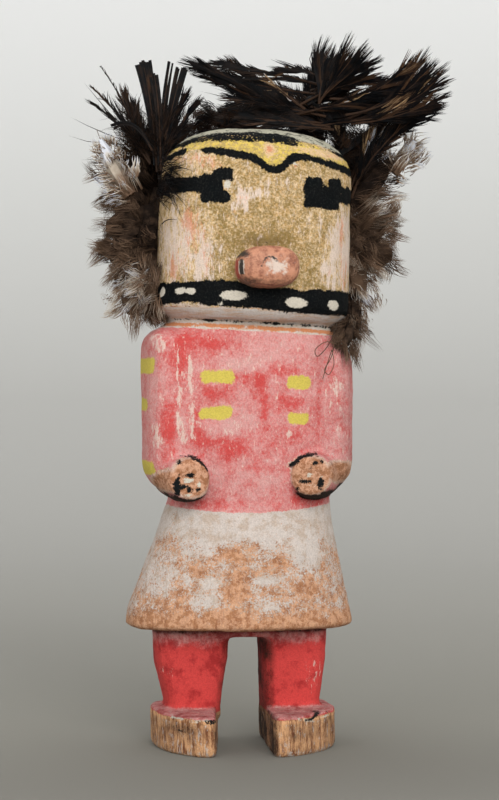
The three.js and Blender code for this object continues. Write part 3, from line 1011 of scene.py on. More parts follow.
@dataclass(frozen=True)
class PaintedWood:
    """The finish of the carving: chalky paints over bare cottonwood root."""

    effects: Effects
    timber_pale: tuple = colour(222, 170, 124)
    timber_dark: tuple = colour(118, 70, 44)
    rubbed_pale: tuple = colour(208, 160, 128)
    rubbed_dark: tuple = colour(160, 108, 76)
    chalk: tuple = colour(205, 196, 189)
    chalk_grey: tuple = colour(190, 174, 160)
    pink: tuple = colour(212, 153, 149)
    red: tuple = colour(200, 76, 73)
    scraped: tuple = colour(222, 200, 187)
    skin: tuple = colour(208, 158, 128)
    ochre: tuple = colour(196, 158, 102)
    cream: tuple = colour(230, 204, 168)
    olive: tuple = colour(120, 99, 46)
    blush: tuple = colour(212, 138, 104)
    blush_pale: tuple = colour(222, 203, 190)
    straw: tuple = colour(172, 148, 92)
    straw_pale: tuple = colour(214, 182, 142)
    yellow: tuple = colour(212, 184, 88)
    lemon: tuple = colour(207, 190, 84)
    leg_red: tuple = colour(205, 68, 65)
    red_deep: tuple = colour(150, 34, 36)
    orange: tuple = colour(204, 134, 92)
    black: tuple = colour(9, 14, 16)
    soot: tuple = colour(32, 34, 33)
    lichen: tuple = colour(180, 176, 156)
    oval: tuple = colour(204, 196, 181)
    bevel: tuple = colour(202, 178, 158)
    # The colour that stains darken towards; the same colour paints shade.
    dirt: tuple = colour(52, 38, 30)

    def make(self) -> bpy.types.Material:
        """Returns the material."""
        return surface("painted_cottonwood", self._wire)

    def _wire(self, graph: Graph, shader: bpy.types.Node) -> None:
        """Wires the coats from the wood outwards."""
        read = {zone: graph.attribute(zone.value) for zone in Zone}
        fine = graph.noise(0.5, 3, 0.65, seed=24)
        shade, timber, kilt = self._below(graph, read)
        shade = self._reds(graph, read, shade)
        shade = self._head(graph, read, shade)
        shade, black = self._marks(graph, read, shade)

        # Every paint is grainy and handled. The stored darkening adds stains and handling marks, and
        # painted shade under the hands, under the kilt, on the inner sides of the legs and along the top
        # of the snout.
        grain = graph.node("ShaderNodeMapRange", {0: fine, 1: 0.3, 2: 0.7, 3: 0.9, 4: 1.07})
        mixed = {0: 1.0, 6: shade, 7: grain.outputs[0]}
        shade = graph.node("ShaderNodeMix", mixed, data_type="RGBA", blend_type="MULTIPLY")
        shade = shade.outputs[2]
        amount = graph.plus(read[Zone.DIRT_AND_SHADE], 0.1)
        soiled_and_shaded = graph.group(self.effects.grime_and_shade, color=shade, dirt=self.dirt, amount=amount)
        graph.feed(shader.inputs["Base Color"], soiled_and_shaded.outputs["Color"])
        graph.feed(shader.inputs["Roughness"], graph.math("MULTIPLY_ADD", black, -0.25, 0.9))
        gloss = graph.math("MULTIPLY_ADD", black, -0.17, 0.2)
        graph.feed(shader.inputs["Specular IOR Level"], gloss)
        layers = graph.times(graph.plus(black, kilt), 0.4)
        layers = graph.math("MULTIPLY_ADD", timber.outputs["Height"], 0.5, layers)
        layers = graph.math("MULTIPLY_ADD", fine, 0.6, layers)
        graph.bump(shader, layers, 0.6)

    def _coat(self, graph: Graph, edge: object, wear: object, **settings: object) -> object:
        """Places one coat of paint and returns its mask."""
        given = {"wobble": 0.5, "grit": 1.0, "soft": 0.15, "veil": 0.06} | settings
        return graph.group(self.effects.coat, edge=edge, wear=wear, **given).outputs["Mask"]

    def _below(self, graph: Graph, read: dict) -> tuple:
        """Bare wood, the kilt's chalk dragged thin over it, and the greyed bevel of the neck."""
        timber = graph.group(self.effects.timber, pale=self.timber_pale, dark=self.timber_dark)
        rubbed = graph.span(graph.noise(2.4, 6, 0.75, seed=20), 0.3, 0.68)
        rubbed = graph.blend(rubbed, self.rubbed_dark, self.rubbed_pale)
        wide = graph.span(read[Zone.LEGS], -0.2, 0.4)
        on_kilt = graph.times(wide, graph.span(read[Zone.KILT], 2.0, 0.5))
        ground = graph.blend(graph.times(on_kilt, 0.8), timber.outputs["Color"], rubbed)
        bare = graph.ragged(read[Zone.WEAR], 0.3, 0.55, 4, 0.75, seed=44)
        kilt = self._coat(graph, read[Zone.KILT], bare, wobble=1.2, veil=0.15, grit=1.2)
        chalk = graph.fade(self.chalk_grey, self.chalk, graph.noise(4, 7, 0.75, seed=21), 0.25, 0.6)
        scuff = graph.ragged(read[Zone.SCRAPE], 0.6, 1.2, 5, 0.72, stretch=(1, 1, 3), seed=45)
        scuff = graph.times(graph.span(scuff, 0.42, 0.72), graph.span(read[Zone.LEGS], 0, 0.5))
        ground = graph.blend(graph.times(scuff, 0.75), ground, self.chalk)
        shade = graph.blend(graph.times(kilt, 0.92), ground, chalk)
        bevel = self._coat(graph, read[Zone.BEVEL], 0.15, wobble=0.6)
        rings = graph.span(graph.noise(0.6, 4, 0.7, stretch=(12, 12, 1), seed=22), 0.32, 0.6)
        return graph.blend(bevel, shade, graph.blend(rings, self.bevel, self.chalk)), timber, kilt

    def _reds(self, graph: Graph, read: dict, shade: object) -> object:
        """The shirt and the legs: one red, thinned to pink and scraped down to the chalk."""
        wear = read[Zone.WEAR]
        strength = graph.ragged(read[Zone.BLUSH], 0.27, 4.4, 9, 0.76, seed=23)
        strength = graph.ragged(strength, 0.17, 0.7, 3, 0.75, stretch=(1, 1, 1.6), seed=39)
        red = graph.fade(self.pink, self.red, strength, 0.14, 0.78)
        bare = graph.ragged(read[Zone.SCRAPE], 0.55, 1.1, 5, 0.74, stretch=(1, 1, 3), seed=30)
        red = graph.fade(red, self.scraped, bare, 0.3, 0.58, 0.8)
        thin = graph.minus(0.75, strength)
        scratch = graph.ragged(thin, 0.5, 0.45, 3, 0.75, stretch=(1, 1, 2), seed=40)
        scratch = graph.span(scratch, 0.4, 1.0)
        red = graph.blend(graph.times(scratch, 0.2), red, self.scraped)
        chalk = graph.blend(self._coat(graph, read[Zone.SHIRT], wear), self.chalk, red)
        shade = graph.blend(self._coat(graph, read[Zone.SHIRT], 0.0), shade, chalk)
        deep = graph.span(graph.noise(5, 7, 0.68, seed=46), 0.4, 0.85)
        red = graph.fade(self.pink, self.leg_red, strength, 0.1, 0.85)
        red = graph.fade(red, self.scraped, bare, 0.3, 0.58, 0.8)
        red = graph.blend(graph.times(deep, 0.75), red, self.red_deep)
        shade = graph.blend(self._coat(graph, read[Zone.LEGS], wear), shade, red)
        stripe = self._coat(graph, read[Zone.STRIPE], 0.25, wobble=0.7)
        return graph.blend(stripe, shade, self.orange)

    def _head(self, graph: Graph, read: dict, shade: object) -> object:
        """The face: an ochre ground, olive grains, and pink and pale places worn through it."""
        wash = graph.fade(self.ochre, self.cream, graph.noise(1.0, 5, 0.8, seed=25), 0.25, 0.75)
        grains = graph.group(self.effects.speckle, amount=read[Zone.OLIVE])
        face = graph.blend(graph.times(grains.outputs["Mask"], 0.85), wash, self.olive)
        pale = graph.ragged(read[Zone.SCRAPE], 0.55, 1.8, 6, 0.75, stretch=(1, 1, 3.5), seed=26)
        pale = graph.ragged(pale, 0.22, 0.5, 3, 0.75, stretch=(1, 1, 4), seed=34)
        face = graph.fade(face, self.blush_pale, pale, 0.22, 0.6, 0.88)
        rosy = graph.ragged(read[Zone.BLUSH], 0.42, 1.5, 5, 0.72, stretch=(1, 1, 4), seed=27)
        rosy = graph.ragged(rosy, 0.3, 0.6, 3, 0.75, stretch=(1, 1, 3), seed=43)
        face = graph.fade(face, self.blush, rosy, 0.3, 0.85, 0.75)
        return graph.blend(self._coat(graph, read[Zone.HEAD], 0.0), shade, face)

    def _marks(self, graph: Graph, read: dict, shade: object) -> tuple:
        """Yellow, black and white marks, the crown, the bare hands with their blots, and the painted
        shadow under the hands.
        """
        wear = read[Zone.WEAR]
        worn = graph.ragged(read[Zone.BLUSH], 0.5, 1.2, 5, 0.75, stretch=(1, 1, 0.7), seed=28)
        straw = graph.noise(1.4, 6, 0.75, seed=42)
        straw = graph.fade(self.straw, self.yellow, straw, 0.36, 0.66)
        straw = graph.fade(straw, self.straw_pale, worn, 0.1, 0.42)
        yellow = self._coat(graph, read[Zone.YELLOW], 0.26, grit=1.8, veil=0.12)
        clear = graph.minus(1.0, graph.span(worn, 0.5, 0.75))
        shade = graph.blend(graph.times(yellow, clear), shade, straw)
        lemon = graph.times(graph.noise(0.8, 4, 0.7, seed=35), 0.22)
        lemon = graph.blend(lemon, self.lemon, self.ochre)
        bars = self._coat(graph, read[Zone.BAR], 0.14, wobble=0.8, soft=0.35)
        shade = graph.blend(bars, shade, lemon)
        crown = self._coat(graph, read[Zone.CROWN], 0.0)
        top = graph.span(graph.noise(0.8, 6, 0.75, stretch=(3, 3, 1), seed=36), 0.22, 0.5)
        shade = graph.blend(crown, shade, graph.blend(top, self.soot, self.lichen))
        patchy = graph.plus(wear, 0.06)
        black = self._coat(graph, read[Zone.BLACK], patchy, wobble=1.0, grit=1.8, veil=0.012)
        dusty = graph.span(graph.noise(0.6, 3, 0.75, seed=47), 0.5, 0.9)
        shade = graph.blend(black, shade, graph.blend(dusty, self.black, self.soot))
        shade = graph.blend(self._coat(graph, read[Zone.OVAL], 0.1, wobble=0.5), shade, self.oval)
        hand = self._coat(graph, read[Zone.HAND], wear, wobble=0.9)
        skin = graph.span(graph.noise(2.0, 6, 0.75, seed=37), 0.3, 0.7)
        skin = graph.blend(skin, self.rubbed_dark, self.skin)
        shade = graph.blend(hand, shade, skin)
        rim = graph.times(hand, graph.span(read[Zone.HAND], -1.6, -0.3))
        rim = graph.times(rim, graph.noise(1.2, 4, 0.7, seed=38))
        shade = graph.blend(rim, shade, self.scraped)
        fleck = self._coat(graph, read[Zone.FLECK], 0.15, wobble=0.7)
        shade = graph.blend(fleck, shade, self.oval)
        # Black marks, with the painted shadow under the hands.
        blot = self._coat(graph, read[Zone.MARK], 0.15, wobble=0.8, soft=0.2)
        return graph.blend(blot, shade, self.black), black


@dataclass
class Snout:
    """The whittled block on the face."""

    frame: DollFrame
    cell: float = 0.35
    rounding: int = 8
    red: Bar = Bar(-36, -32, 159.4, 165.6, 0.4)
    white: Bar = Bar(-40.4, -35.6, 160.6, 165, 0.4)
    blot: Bar = Bar(-39.9, -36.9, 160.4, 165.4, 0.7)
    crack: Stroke = Stroke(
        (
            (0.6, 163, 0.3), (1.2, 164.8, 0.4), (2.4, 166.2, 0.5), (4.2, 166.2, 0.4),
            (5.6, 164.9, 0.3),
        )
    )

    def build(self, cad: bpy.types.Object) -> bpy.types.Object:
        """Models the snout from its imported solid.

        Args:
            cad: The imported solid.

        Returns:
            The new piece.
        """
        piece = carve("snout_block", cad, self.cell, self.rounding)
        roughen(piece, 2, (5, 0.5), (1.4, 0.16))
        self._paint(piece.data)
        bpy.ops.object.shade_smooth()
        return piece

    def _paint(self, mesh: bpy.types.Mesh) -> None:
        """Stores where the snout is rubbed pale and marked, and where shade is painted on it."""
        x, y, z = self.frame.to_doll(read_points(mesh)).T
        right = OFF * (x > -1.5)
        tip = np.exp(-(((x - 5.6) / 4.6) ** 2 + ((z - 163) / 3.2) ** 2)) * ease(-38, -41, y)
        # Painted shade: darker along the lower edge, on the -X side and at the upper -X corner.
        snout_shade = 0.9 * ease(160.6, 158, z) + 0.4 * ease(1, -3, x)
        snout_shade += 1.2 * ease(165.2, 167, z) * ease(-1.5, -5, x)
        crack = self.crack.distance(x, z) + OFF * (y > -38)
        marks = np.minimum(self.blot.distance(y, z) + right, crack)
        top = np.maximum(166.6 - z, x + 3 + 0.8 * (z - 166))
        for zone, values in (
            (Zone.WEAR, 0.6 * tip),
            (Zone.DIRT_AND_SHADE, snout_shade),
            (Zone.STRIPE, self.red.distance(y, z) + right),
            (Zone.OVAL, self.white.distance(y, z) + right),
            (Zone.MARK, np.minimum(marks, top)),
        ):
            write_attribute(mesh, zone.value, values)


@dataclass(frozen=True)
class StainedWood:
    """The finish of the snout: a thin terracotta stain, rubbed pale at its end, with painted shade on its
    lower edge and its -X side.
    """

    effects: Effects
    stain: tuple = colour(203, 140, 108)
    stain_deep: tuple = colour(150, 88, 64)
    pale: tuple = colour(224, 208, 194)
    black: tuple = colour(38, 32, 28)
    red: tuple = colour(170, 66, 54)

    def make(self) -> bpy.types.Material:
        """Returns the material."""
        return surface("stained_snout", self._wire)

    def _wire(self, graph: Graph, shader: bpy.types.Node) -> None:
        """Wires the stain over the wood, its rubbed end, its marks and its painted shade."""
        cloud = graph.noise(2.6, 6, 0.72, seed=31)
        shade = graph.fade(self.stain_deep, self.stain, cloud, 0.15, 0.6)
        rub = graph.ragged(graph.attribute(Zone.WEAR.value), 0.35, 1.8, 6, 0.75, seed=32)
        shade = graph.fade(shade, self.pale, rub, 0.22, 0.5, 0.85)
        for zone, tint, wear in (
            (Zone.STRIPE, self.red, 0.25),
            (Zone.OVAL, self.pale, 0.2),
            (Zone.MARK, self.black, 0.36),
        ):
            edge = graph.attribute(zone.value)
            coat = graph.group(self.effects.coat, edge=edge, wobble=0.6, wear=wear, grit=1.4)
            shade = graph.blend(coat.outputs["Mask"], shade, tint)
        # Painted shade: the snout turns towards black where the stored amount is high.
        dirt = graph.ragged(graph.attribute(Zone.DIRT_AND_SHADE.value), 0.5, 1.2, 5, 0.7, seed=33)
        shade = graph.fade(shade, self.black, dirt, 0.5, 1.6, 0.85)
        grime_and_shade = graph.group(self.effects.grime_and_shade, color=shade, dirt=self.black, amount=0.35)
        graph.feed(shader.inputs["Base Color"], grime_and_shade.outputs["Color"])
        shader.inputs["Roughness"].default_value = 0.6
        graph.bump(shader, cloud, 0.5)


# ------------------------------------------------------------------ feathers


@dataclass
class Blade:
    """The line and width of one feather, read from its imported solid, in millimetres."""

    spine: np.ndarray
    across: np.ndarray
    half_width: np.ndarray

    @classmethod
    def from_solid(cls, cad: bpy.types.Object, frame: DollFrame) -> "Blade":
        """Reads the rings of a blade, from the end nearest to the head to its tip.

        Args:
            cad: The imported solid, a stack of rings with a point at the middle of each end.
            frame: The doll's frame.

        Returns:
            The blade.
        """
        points = frame.to_doll(read_points(cad.data))
        places, index = np.unique(np.round(points, 3), axis=0, return_inverse=True)
        index = index.ravel()
        links: list[set[int]] = [set() for _ in places]
        for polygon in cad.data.polygons:
            corners = [int(index[vertex]) for vertex in polygon.vertices]
            for corner in corners:
                links[corner].update(corners)
        ends = [i for i, near in enumerate(links) if len(near) == 7 and cls._is_cap(i, links)]
        middle_of_head = np.array((4.0, 0.0, 178.0))
        root = min(ends, key=lambda i: float(np.linalg.norm(places[i] - middle_of_head)))
        seen, ring = {root}, {root}
        rings = []
        while ring:
            ring = set().union(*(links[i] for i in ring)) - seen
            seen |= ring
            if len(ring) >= 6:
                rings.append(places[sorted(ring)])
        spine = np.array([ring.mean(0) for ring in rings])
        wide = np.empty_like(spine)
        half_width = np.empty(len(rings))
        for i, ring in enumerate(rings):
            reach = np.linalg.norm(ring - spine[i], axis=1)
            half_width[i] = reach.max()
            wide[i] = (ring[int(np.argmax(reach))] - spine[i]) / reach.max()
        for i in range(len(wide) - 1, 0, -1):
            if np.dot(wide[i], wide[i - 1]) < 0:
                wide[i - 1] *= -1
        wide[:2] = wide[2]
        return cls(spine, cls._upper_side_first(wide), half_width)

    @staticmethod
    def _upper_side_first(across: np.ndarray) -> np.ndarray:
        """Turns the directions across so that they point up, or right on an upright feather."""
        return across if across[4] @ np.array((0.3, 0.0, 1.0)) >= 0 else -across

    @staticmethod
    def _is_cap(place: int, links: list[set[int]]) -> bool:
        """Tells whether a place's neighbours all touch each other round it."""
        near = links[place] - {place}
        return all(len(links[other] & near) >= 3 for other in near)

    @property
    def length(self) -> float:
        """The length along the line."""
        return float(np.linalg.norm(np.diff(self.spine, axis=0), axis=1).sum())

    @classmethod
    def through(cls, root: tuple, bow: tuple, tip: tuple, half_width: float = 4) -> "Blade":
        """Draws another feather from three places.

        Args:
            root: Where it starts.
            bow: The place that it bends towards.
            tip: Where it ends.
            half_width: Its half width in millimetres.

        Returns:
            The blade, which faces the front.
        """
        share = np.linspace(0, 1, DRAWN_RINGS)[:, None]
        start, middle, end = (np.array(place, float) for place in (root, bow, tip))
        spine = start * (1 - share) ** 2 + 2 * middle * share * (1 - share) + end * share**2
        across = unit(np.cross(np.array((0.156, 0.988, 0.0)), unit(np.gradient(spine, axis=0))))
        return cls(spine, cls._upper_side_first(across), np.full(DRAWN_RINGS, half_width))

    def bent(self, shift: np.ndarray, twist: float) -> "Blade":
        """Gives a neighbour of this blade from the same root.

        Args:
            shift: How far its tip lies from this one's.
            twist: How far it is turned about its line, in radians.

        Returns:
            The neighbour.
        """
        share = np.linspace(0, 1, len(self.spine))[:, None]
        along = unit(np.gradient(self.spine, axis=0))
        up = np.cross(along, self.across)
        turned = self.across * math.cos(twist) + up * math.sin(twist)
        return Blade(self.spine + shift * share**1.5, turned, self.half_width)

    def at(self, share: np.ndarray) -> tuple[np.ndarray, np.ndarray, np.ndarray, np.ndarray]:
        """Gives the line at shares of its length.

        Args:
            share: Places along the feather, from 0 at the root to 1 at the tip.

        Returns:
            The points, the directions along, the directions across and the half widths.
        """
        steps = np.linspace(0, 1, len(self.spine))
        along = unit(between(share, steps, np.gradient(self.spine, axis=0)))
        across = between(share, steps, self.across)
        across = unit(across - along * np.sum(across * along, -1, keepdims=True))
        points = between(share, steps, self.spine)
        return points, along, across, np.interp(share, steps, self.half_width)


@dataclass
class Part:
    """A closed piece of mesh with the numbers that its finish reads."""

    points: np.ndarray
    faces: list
    tone: np.ndarray
    run: np.ndarray


@dataclass
class Strands:
    """Many thin tapering barbs, each one closed three-sided spike along a bent line."""

    start: np.ndarray
    direction: np.ndarray
    normal: np.ndarray
    length: np.ndarray
    width: np.ndarray
    bend: np.ndarray
    wave: np.ndarray
    tone: np.ndarray
    flat: float = 0.5

    def grow(self, spike: tuple[np.ndarray, list], rng: np.random.Generator) -> Part:
        """Sets a copy of the spike along each barb.

        Args:
            spike: The points and faces of a straight spike, one long and with a radius of 1.
            rng: The source of chance for the waves.

        Returns:
            All the barbs as one part.
        """
        points, faces = spike
        share = points[:, 2][None, :, None]
        direction = unit(self.direction)
        side = unit(np.cross(self.normal, direction))
        up = np.cross(direction, side)
        phase = rng.uniform(0, 2 * np.pi, (len(self.start), 2))
        turns = rng.uniform(0.5, 1.2, (len(self.start), 1, 1))
        swing = share * self.wave[:, None, None]
        sway = np.sin(2 * np.pi * turns * share + phase[:, :1, None]) - np.sin(phase[:, :1, None])
        roll = np.sin(2 * np.pi * turns * share + phase[:, 1:, None]) - np.sin(phase[:, 1:, None])
        line = (
            self.start[:, None]
            + direction[:, None] * self.length[:, None, None] * share
            + self.bend[:, None] * share**2
            + side[:, None] * swing * sway
            + up[:, None] * swing * roll
        )
        half = self.width[:, None, None] / 2
        line = line + side[:, None] * points[None, :, 0:1] * half
        line = line + up[:, None] * points[None, :, 1:2] * half * self.flat
        count = len(points)
        moved = [
            tuple(corner + i * count for corner in face)
            for i in range(len(self.start))
            for face in faces
        ]
        return Part(
            line.reshape(-1, 3),
            moved,
            np.repeat(self.tone, count),
            np.tile(points[:, 2], len(self.start)),
        )


def make_spike(parts: int) -> tuple[np.ndarray, list]:
    """Models one straight three-sided spike, cut into parts along its length.

    Args:
        parts: How many parts it bends in.

    Returns:
        Its points and faces.
    """
    bpy.ops.object.select_all(action="DESELECT")
    bpy.ops.mesh.primitive_cone_add(vertices=3, radius1=1, radius2=0, depth=1, location=(0, 0, 0.5))
    piece = bpy.context.object
    bpy.ops.object.mode_set(mode="EDIT")
    for part in range(1, parts):
        bpy.ops.mesh.select_all(action="SELECT")
        bpy.ops.mesh.bisect(plane_co=(0, 0, part / parts), plane_no=(0, 0, 1))
    bpy.ops.object.mode_set(mode="OBJECT")
    points = read_points(piece.data) + np.array((0, 0, 0.5))
    swell = 1 - points[:, 2:3] ** 2.5
    points[:, :2] *= swell / np.maximum(1 - points[:, 2:3], 1e-6)
    faces = [tuple(polygon.vertices) for polygon in piece.data.polygons]
    mesh = piece.data
    bpy.data.objects.remove(piece)
    bpy.data.meshes.remove(mesh)
    return points, faces


def sweep_ring(
    line: np.ndarray,
    along: np.ndarray,
    across: np.ndarray,
    wide: np.ndarray,
    thick: np.ndarray,
    tone: float | np.ndarray,
) -> Part:
    """Sweeps a flattened ring along a line and closes both ends.

    Args:
        line: The points of the line.
        along: The directions along it.
        across: The directions in which the ring is wide.
        wide: The ring's half width at each point.
        thick: The ring's half thickness at each point.
        tone: The tone of the whole part, or of each point of the line.

    Returns:
        The part.
    """
    up = np.cross(along, across)
    sides = 6
    turn = np.arange(sides) * 2 * np.pi / sides
    rings = (
        line[:, None]
        + across[:, None] * (np.cos(turn)[None, :, None] * wide[:, None, None])
        + up[:, None] * (np.sin(turn)[None, :, None] * thick[:, None, None])
    )
    last = len(line) - 1
    faces = [tuple(reversed(range(sides))), tuple(range(last * sides, (last + 1) * sides))]
    for ring in range(last):
        for i in range(sides):
            j = (i + 1) % sides
            low, high = ring * sides, (ring + 1) * sides
            faces.append((low + i, low + j, high + j, high + i))
    tones = np.repeat(np.zeros(len(line)) + tone, sides)
    return Part(rings.reshape(-1, 3), faces, tones, np.repeat(np.linspace(0, 1, len(line)), sides))


def make_quill(blade: Blade, thick: float, reach: float, tone: float) -> Part:
    """Makes the tapering shaft along a blade.

    Args:
        blade: The feather's line.
        thick: The radius at the root in millimetres.
        reach: The share of the blade at which it ends.
        tone: Its tone.

    Returns:
        The part.
    """
    share = np.linspace(0, reach, RINGS)
    line, along, across, _ = blade.at(share)
    radius = thick * (1 - 0.8 * share / reach)
    return sweep_ring(line, along, across, radius, radius, tone)


def make_thread(places: tuple, radius: float, tone: float) -> Part:
    """Makes a thin thread through some places.

    Args:
        places: The places that it passes, in millimetres.
        radius: Its radius in millimetres.
        tone: Its tone.

    Returns:
        The part.
    """
    rings_each, rounding = 8, 12
    corners = np.array(places, float)
    steps = np.linspace(0, len(corners) - 1, rings_each * len(corners))
    line = between(steps, np.arange(len(corners)), corners)
    for _ in range(rounding):
        line[1:-1] = (line[:-2] + 2 * line[1:-1] + line[2:]) / 4
    along = unit(np.gradient(line, axis=0))
    across = unit(np.cross(along, np.array((0.1, 1.0, 0.2))))
    size = np.full(len(line), radius)
    return sweep_ring(line, along, across, size, size, tone)


@dataclass(frozen=True)
class Plume:
    """A stiff black plume: its shafts, and barbs that have split into ragged clumps.

    The first of its two sides is the upper one, or the right one of an upright plume.
    """

    lengths: tuple = (14.0, 14.0)
    barbs: int = 110
    blades: int = 2
    splay: float = 1.6
    shaft: float = 0.76
    lean: float = 21.0
    fan: float = 20.0
    clump: int = 8
    gather: float = 0.5
    barb_width: float = 0.42
    wave: float = 0.35
    vane: tuple = ()
    fluff: int = 60
    fluff_reach: tuple = (0.08, 0.42)
    tan: tuple = ()
    wisps: tuple = ()
    lashes: int = 0
    line: tuple = ()
    others: tuple = ()

    def grow(self, blade: Blade, spike: tuple, rng: np.random.Generator) -> list[Part]:
        """Grows the whole plume and the others that are bound up with it.

        Args:
            blade: The feather's line, unless the plume has its own.
            spike: The points and faces of the barb to copy.
            rng: The source of chance.

        Returns:
            The parts.
        """
        if self.line:
            blade = Blade.through(*self.line)
        parts = []
        for number in range(self.blades):
            near = blade
            if number:
                shift = rng.normal(0, self.splay, 3)
                shift -= unit(blade.spine[-1] - blade.spine[0]) * rng.uniform(1, 5)
                near = blade.bent(shift, rng.normal(0, 0.3))
            parts.append(make_quill(near, 0.5, self.shaft, 0.3))
            if self.vane:
                parts += self._vane(near, rng)
            if self.barbs:
                parts += [self._side(near, side, spike, rng) for side in (1, -1)]
        if self.fluff:
            parts.append(self._fluff(blade, spike, rng))
        if self.wisps:
            parts.append(self._wisps(blade, spike, rng))
        if self.lashes:
            parts.append(self._lashes(spike, rng))
        for other in self.others:
            parts += other.grow(blade, spike, rng)
        return parts

    def _vane(self, blade: Blade, rng: np.random.Generator) -> list[Part]:
        """Makes the whole part of a vane: flat strips side by side, which part near the tip."""
        low, high, strips, half = self.vane
        fade = 0.06
        half_thick = np.full(RINGS, 0.12)
        parts = []
        for place in np.linspace(-1, 1, strips):
            share = np.linspace(0.05, 1 - rng.uniform(0, 0.04) - 0.03 * abs(place), RINGS)
            line, along, across, _ = blade.at(share)
            offset = place * (low + (high - low) * share**1.5)
            offset += rng.normal(0, 0.3) * ease(0.6, 1, share)
            line = line + across * offset[:, None]
            line += np.cross(along, across) * (rng.uniform(-0.15, 0.15) - 0.25 * place**2)
            tone = rng.uniform(0, 0.08) + np.zeros(RINGS)
            for side, start, end, strength in self.tan:
                if side in (0, np.sign(place)):
                    inside = ease(start, start + fade, share) * ease(end, end - fade, share)
                    tone += strength * inside
            size = half * (0.6 + 0.4 * share)
            parts.append(sweep_ring(line, along, across, size, half_thick, tone))
        return parts

    def _side(self, blade: Blade, side: int, spike: tuple, rng: np.random.Generator) -> Part:
        """Grows the barbs on one side of a shaft."""
        count = self.barbs
        order = np.linspace(0, 1, count)
        share = 0.12 + (self.shaft - 0.12) * np.minimum(1, order / 0.84)
        start, along, across, _ = blade.at(share)
        normal = np.cross(along, across)
        clump = (np.arange(count) + rng.integers(0, self.clump)) // self.clump
        clumps = int(clump.max()) + 1
        ending = np.clip((1 - order) / 0.16, 0, 1)
        lean = (self.lean + (self.fan - self.lean) * order) * ending
        stray = rng.normal(0, 4.5, clumps)[clump] + rng.normal(0, 1.2, count)
        lean += stray * (0.4 + 0.6 * ending)
        turn = np.radians(lean)[:, None]
        lift = (rng.normal(0, 0.12, clumps)[clump] + rng.normal(0, 0.03, count))[:, None]
        direction = unit(np.cos(turn) * along + np.sin(turn) * side * across + lift * normal)
        beyond = (1 - self.shaft) * blade.length
        long = self.lengths[0] if side > 0 else self.lengths[1]
        length = long + (beyond - long) * ease(0.35, 1, order)
        length *= 0.55 + 0.45 * ease(0, 0.2, order)
        length *= 1 + rng.normal(0, 0.09, clumps)[clump] + rng.normal(0, 0.05, count)
        length = np.minimum(length, (1 - share) * blade.length * 1.05 + 3)
        tip = start + direction * length[:, None]
        bend = (middles(tip, clump)[clump] - tip) * self.gather
        bend += along * length[:, None] * 0.06 + rng.normal(0, 0.6, (clumps, 3))[clump]
        bend -= side * across * length[:, None] * 0.05
        tone = np.clip(rng.normal(0.0, 0.03, clumps)[clump] + rng.normal(0.02, 0.03, count), 0, 1)
        # A few clumps are paler: partly brown streaks in the barbs, partly painted glints.
        tone += (rng.random(clumps) > 0.88)[clump] * rng.uniform(0.1, 0.45, clumps)[clump]
        for tan_side, low, high, strength in self.tan:
            if tan_side in (side, 0):
                inside = (order > low) & (order < high)
                tone = np.where(inside, tone + strength * rng.uniform(0.5, 1, count), tone)
        return Strands(
            start,
            direction,
            normal,
            length,
            self.barb_width * rng.uniform(0.75, 1.2, count),
            bend,
            np.abs(rng.normal(0, self.wave, count)),
            np.clip(tone, 0, 1),
            flat=0.35,
        ).grow(spike, rng)

    def _fluff(self, blade: Blade, spike: tuple, rng: np.random.Generator) -> Part:
        """Grows the loose soft barbs near the root."""
        share = rng.uniform(*self.fluff_reach, self.fluff)
        start, along, across, _ = blade.at(share)
        around = rng.uniform(0, 2 * np.pi, self.fluff)[:, None]
        normal = np.cross(along, across)
        out = np.cos(around) * across + np.sin(around) * normal
        tilt = np.radians(rng.uniform(15, 60, self.fluff))[:, None]
        return Strands(
            start,
            np.cos(tilt) * along + np.sin(tilt) * out,
            unit(np.cross(along, out)),
            rng.uniform(6, 12, self.fluff),
            rng.uniform(0.22, 0.32, self.fluff),
            rng.normal(0, 1.6, (self.fluff, 3)),
            np.abs(rng.normal(0, 0.9, self.fluff)),
            np.clip(rng.normal(0.1, 0.08, self.fluff), 0, 1),
        ).grow(spike, rng)

    def _wisps(self, blade: Blade, spike: tuple, rng: np.random.Generator) -> Part:
        """Grows the long single barbs that stand away from the plume."""
        tips = np.array([wisp[:3] for wisp in self.wisps], float)
        share = np.array([wisp[3] for wisp in self.wisps])
        start, _, _, _ = blade.at(share)
        way = tips - start
        normal = unit(np.cross(way, np.array((0.2, 1.0, 0.1))))
        bend = np.tile((0, 0, 2.5), (len(tips), 1))
        return Strands(
            start,
            way - bend,
            normal,
            np.linalg.norm(way - bend, axis=1),
            np.full(len(tips), 0.6),
            bend,
            np.abs(rng.normal(0, 0.4, len(tips))),
            rng.uniform(0.05, 0.35, len(tips)),
            flat=0.8,
        ).grow(spike, rng)

    def _lashes(self, spike: tuple, rng: np.random.Generator) -> Part:
        """Grows short barbs that hang over the corner of the face and lie along it."""
        head = HeadShape()
        around = rng.uniform(-47, -36, self.lashes)
        up = rng.normal(46, 4.5, self.lashes)
        start = head.place(around, up, 1.6)
        reach = rng.uniform(5, 13, self.lashes)
        drop = rng.normal(-1.5, 4.5, self.lashes)
        middle = head.place(around + reach / 2, up + drop / 2 + 0.8, 1.5)
        tip = head.place(around + reach, up + drop, 0.5)
        bend = 2 * (tip + start - 2 * middle)
        way = tip - start - bend
        return Strands(
            start,
            way,
            unit((start - (head.neck_x, 0, 0)) * (1, 1, 0)),
            np.linalg.norm(way, axis=1),
            rng.uniform(0.3, 0.5, self.lashes),
            bend,
            np.abs(rng.normal(0, 0.2, self.lashes)),
            np.clip(rng.normal(0.03, 0.03, self.lashes), 0, 1),
        ).grow(spike, rng)


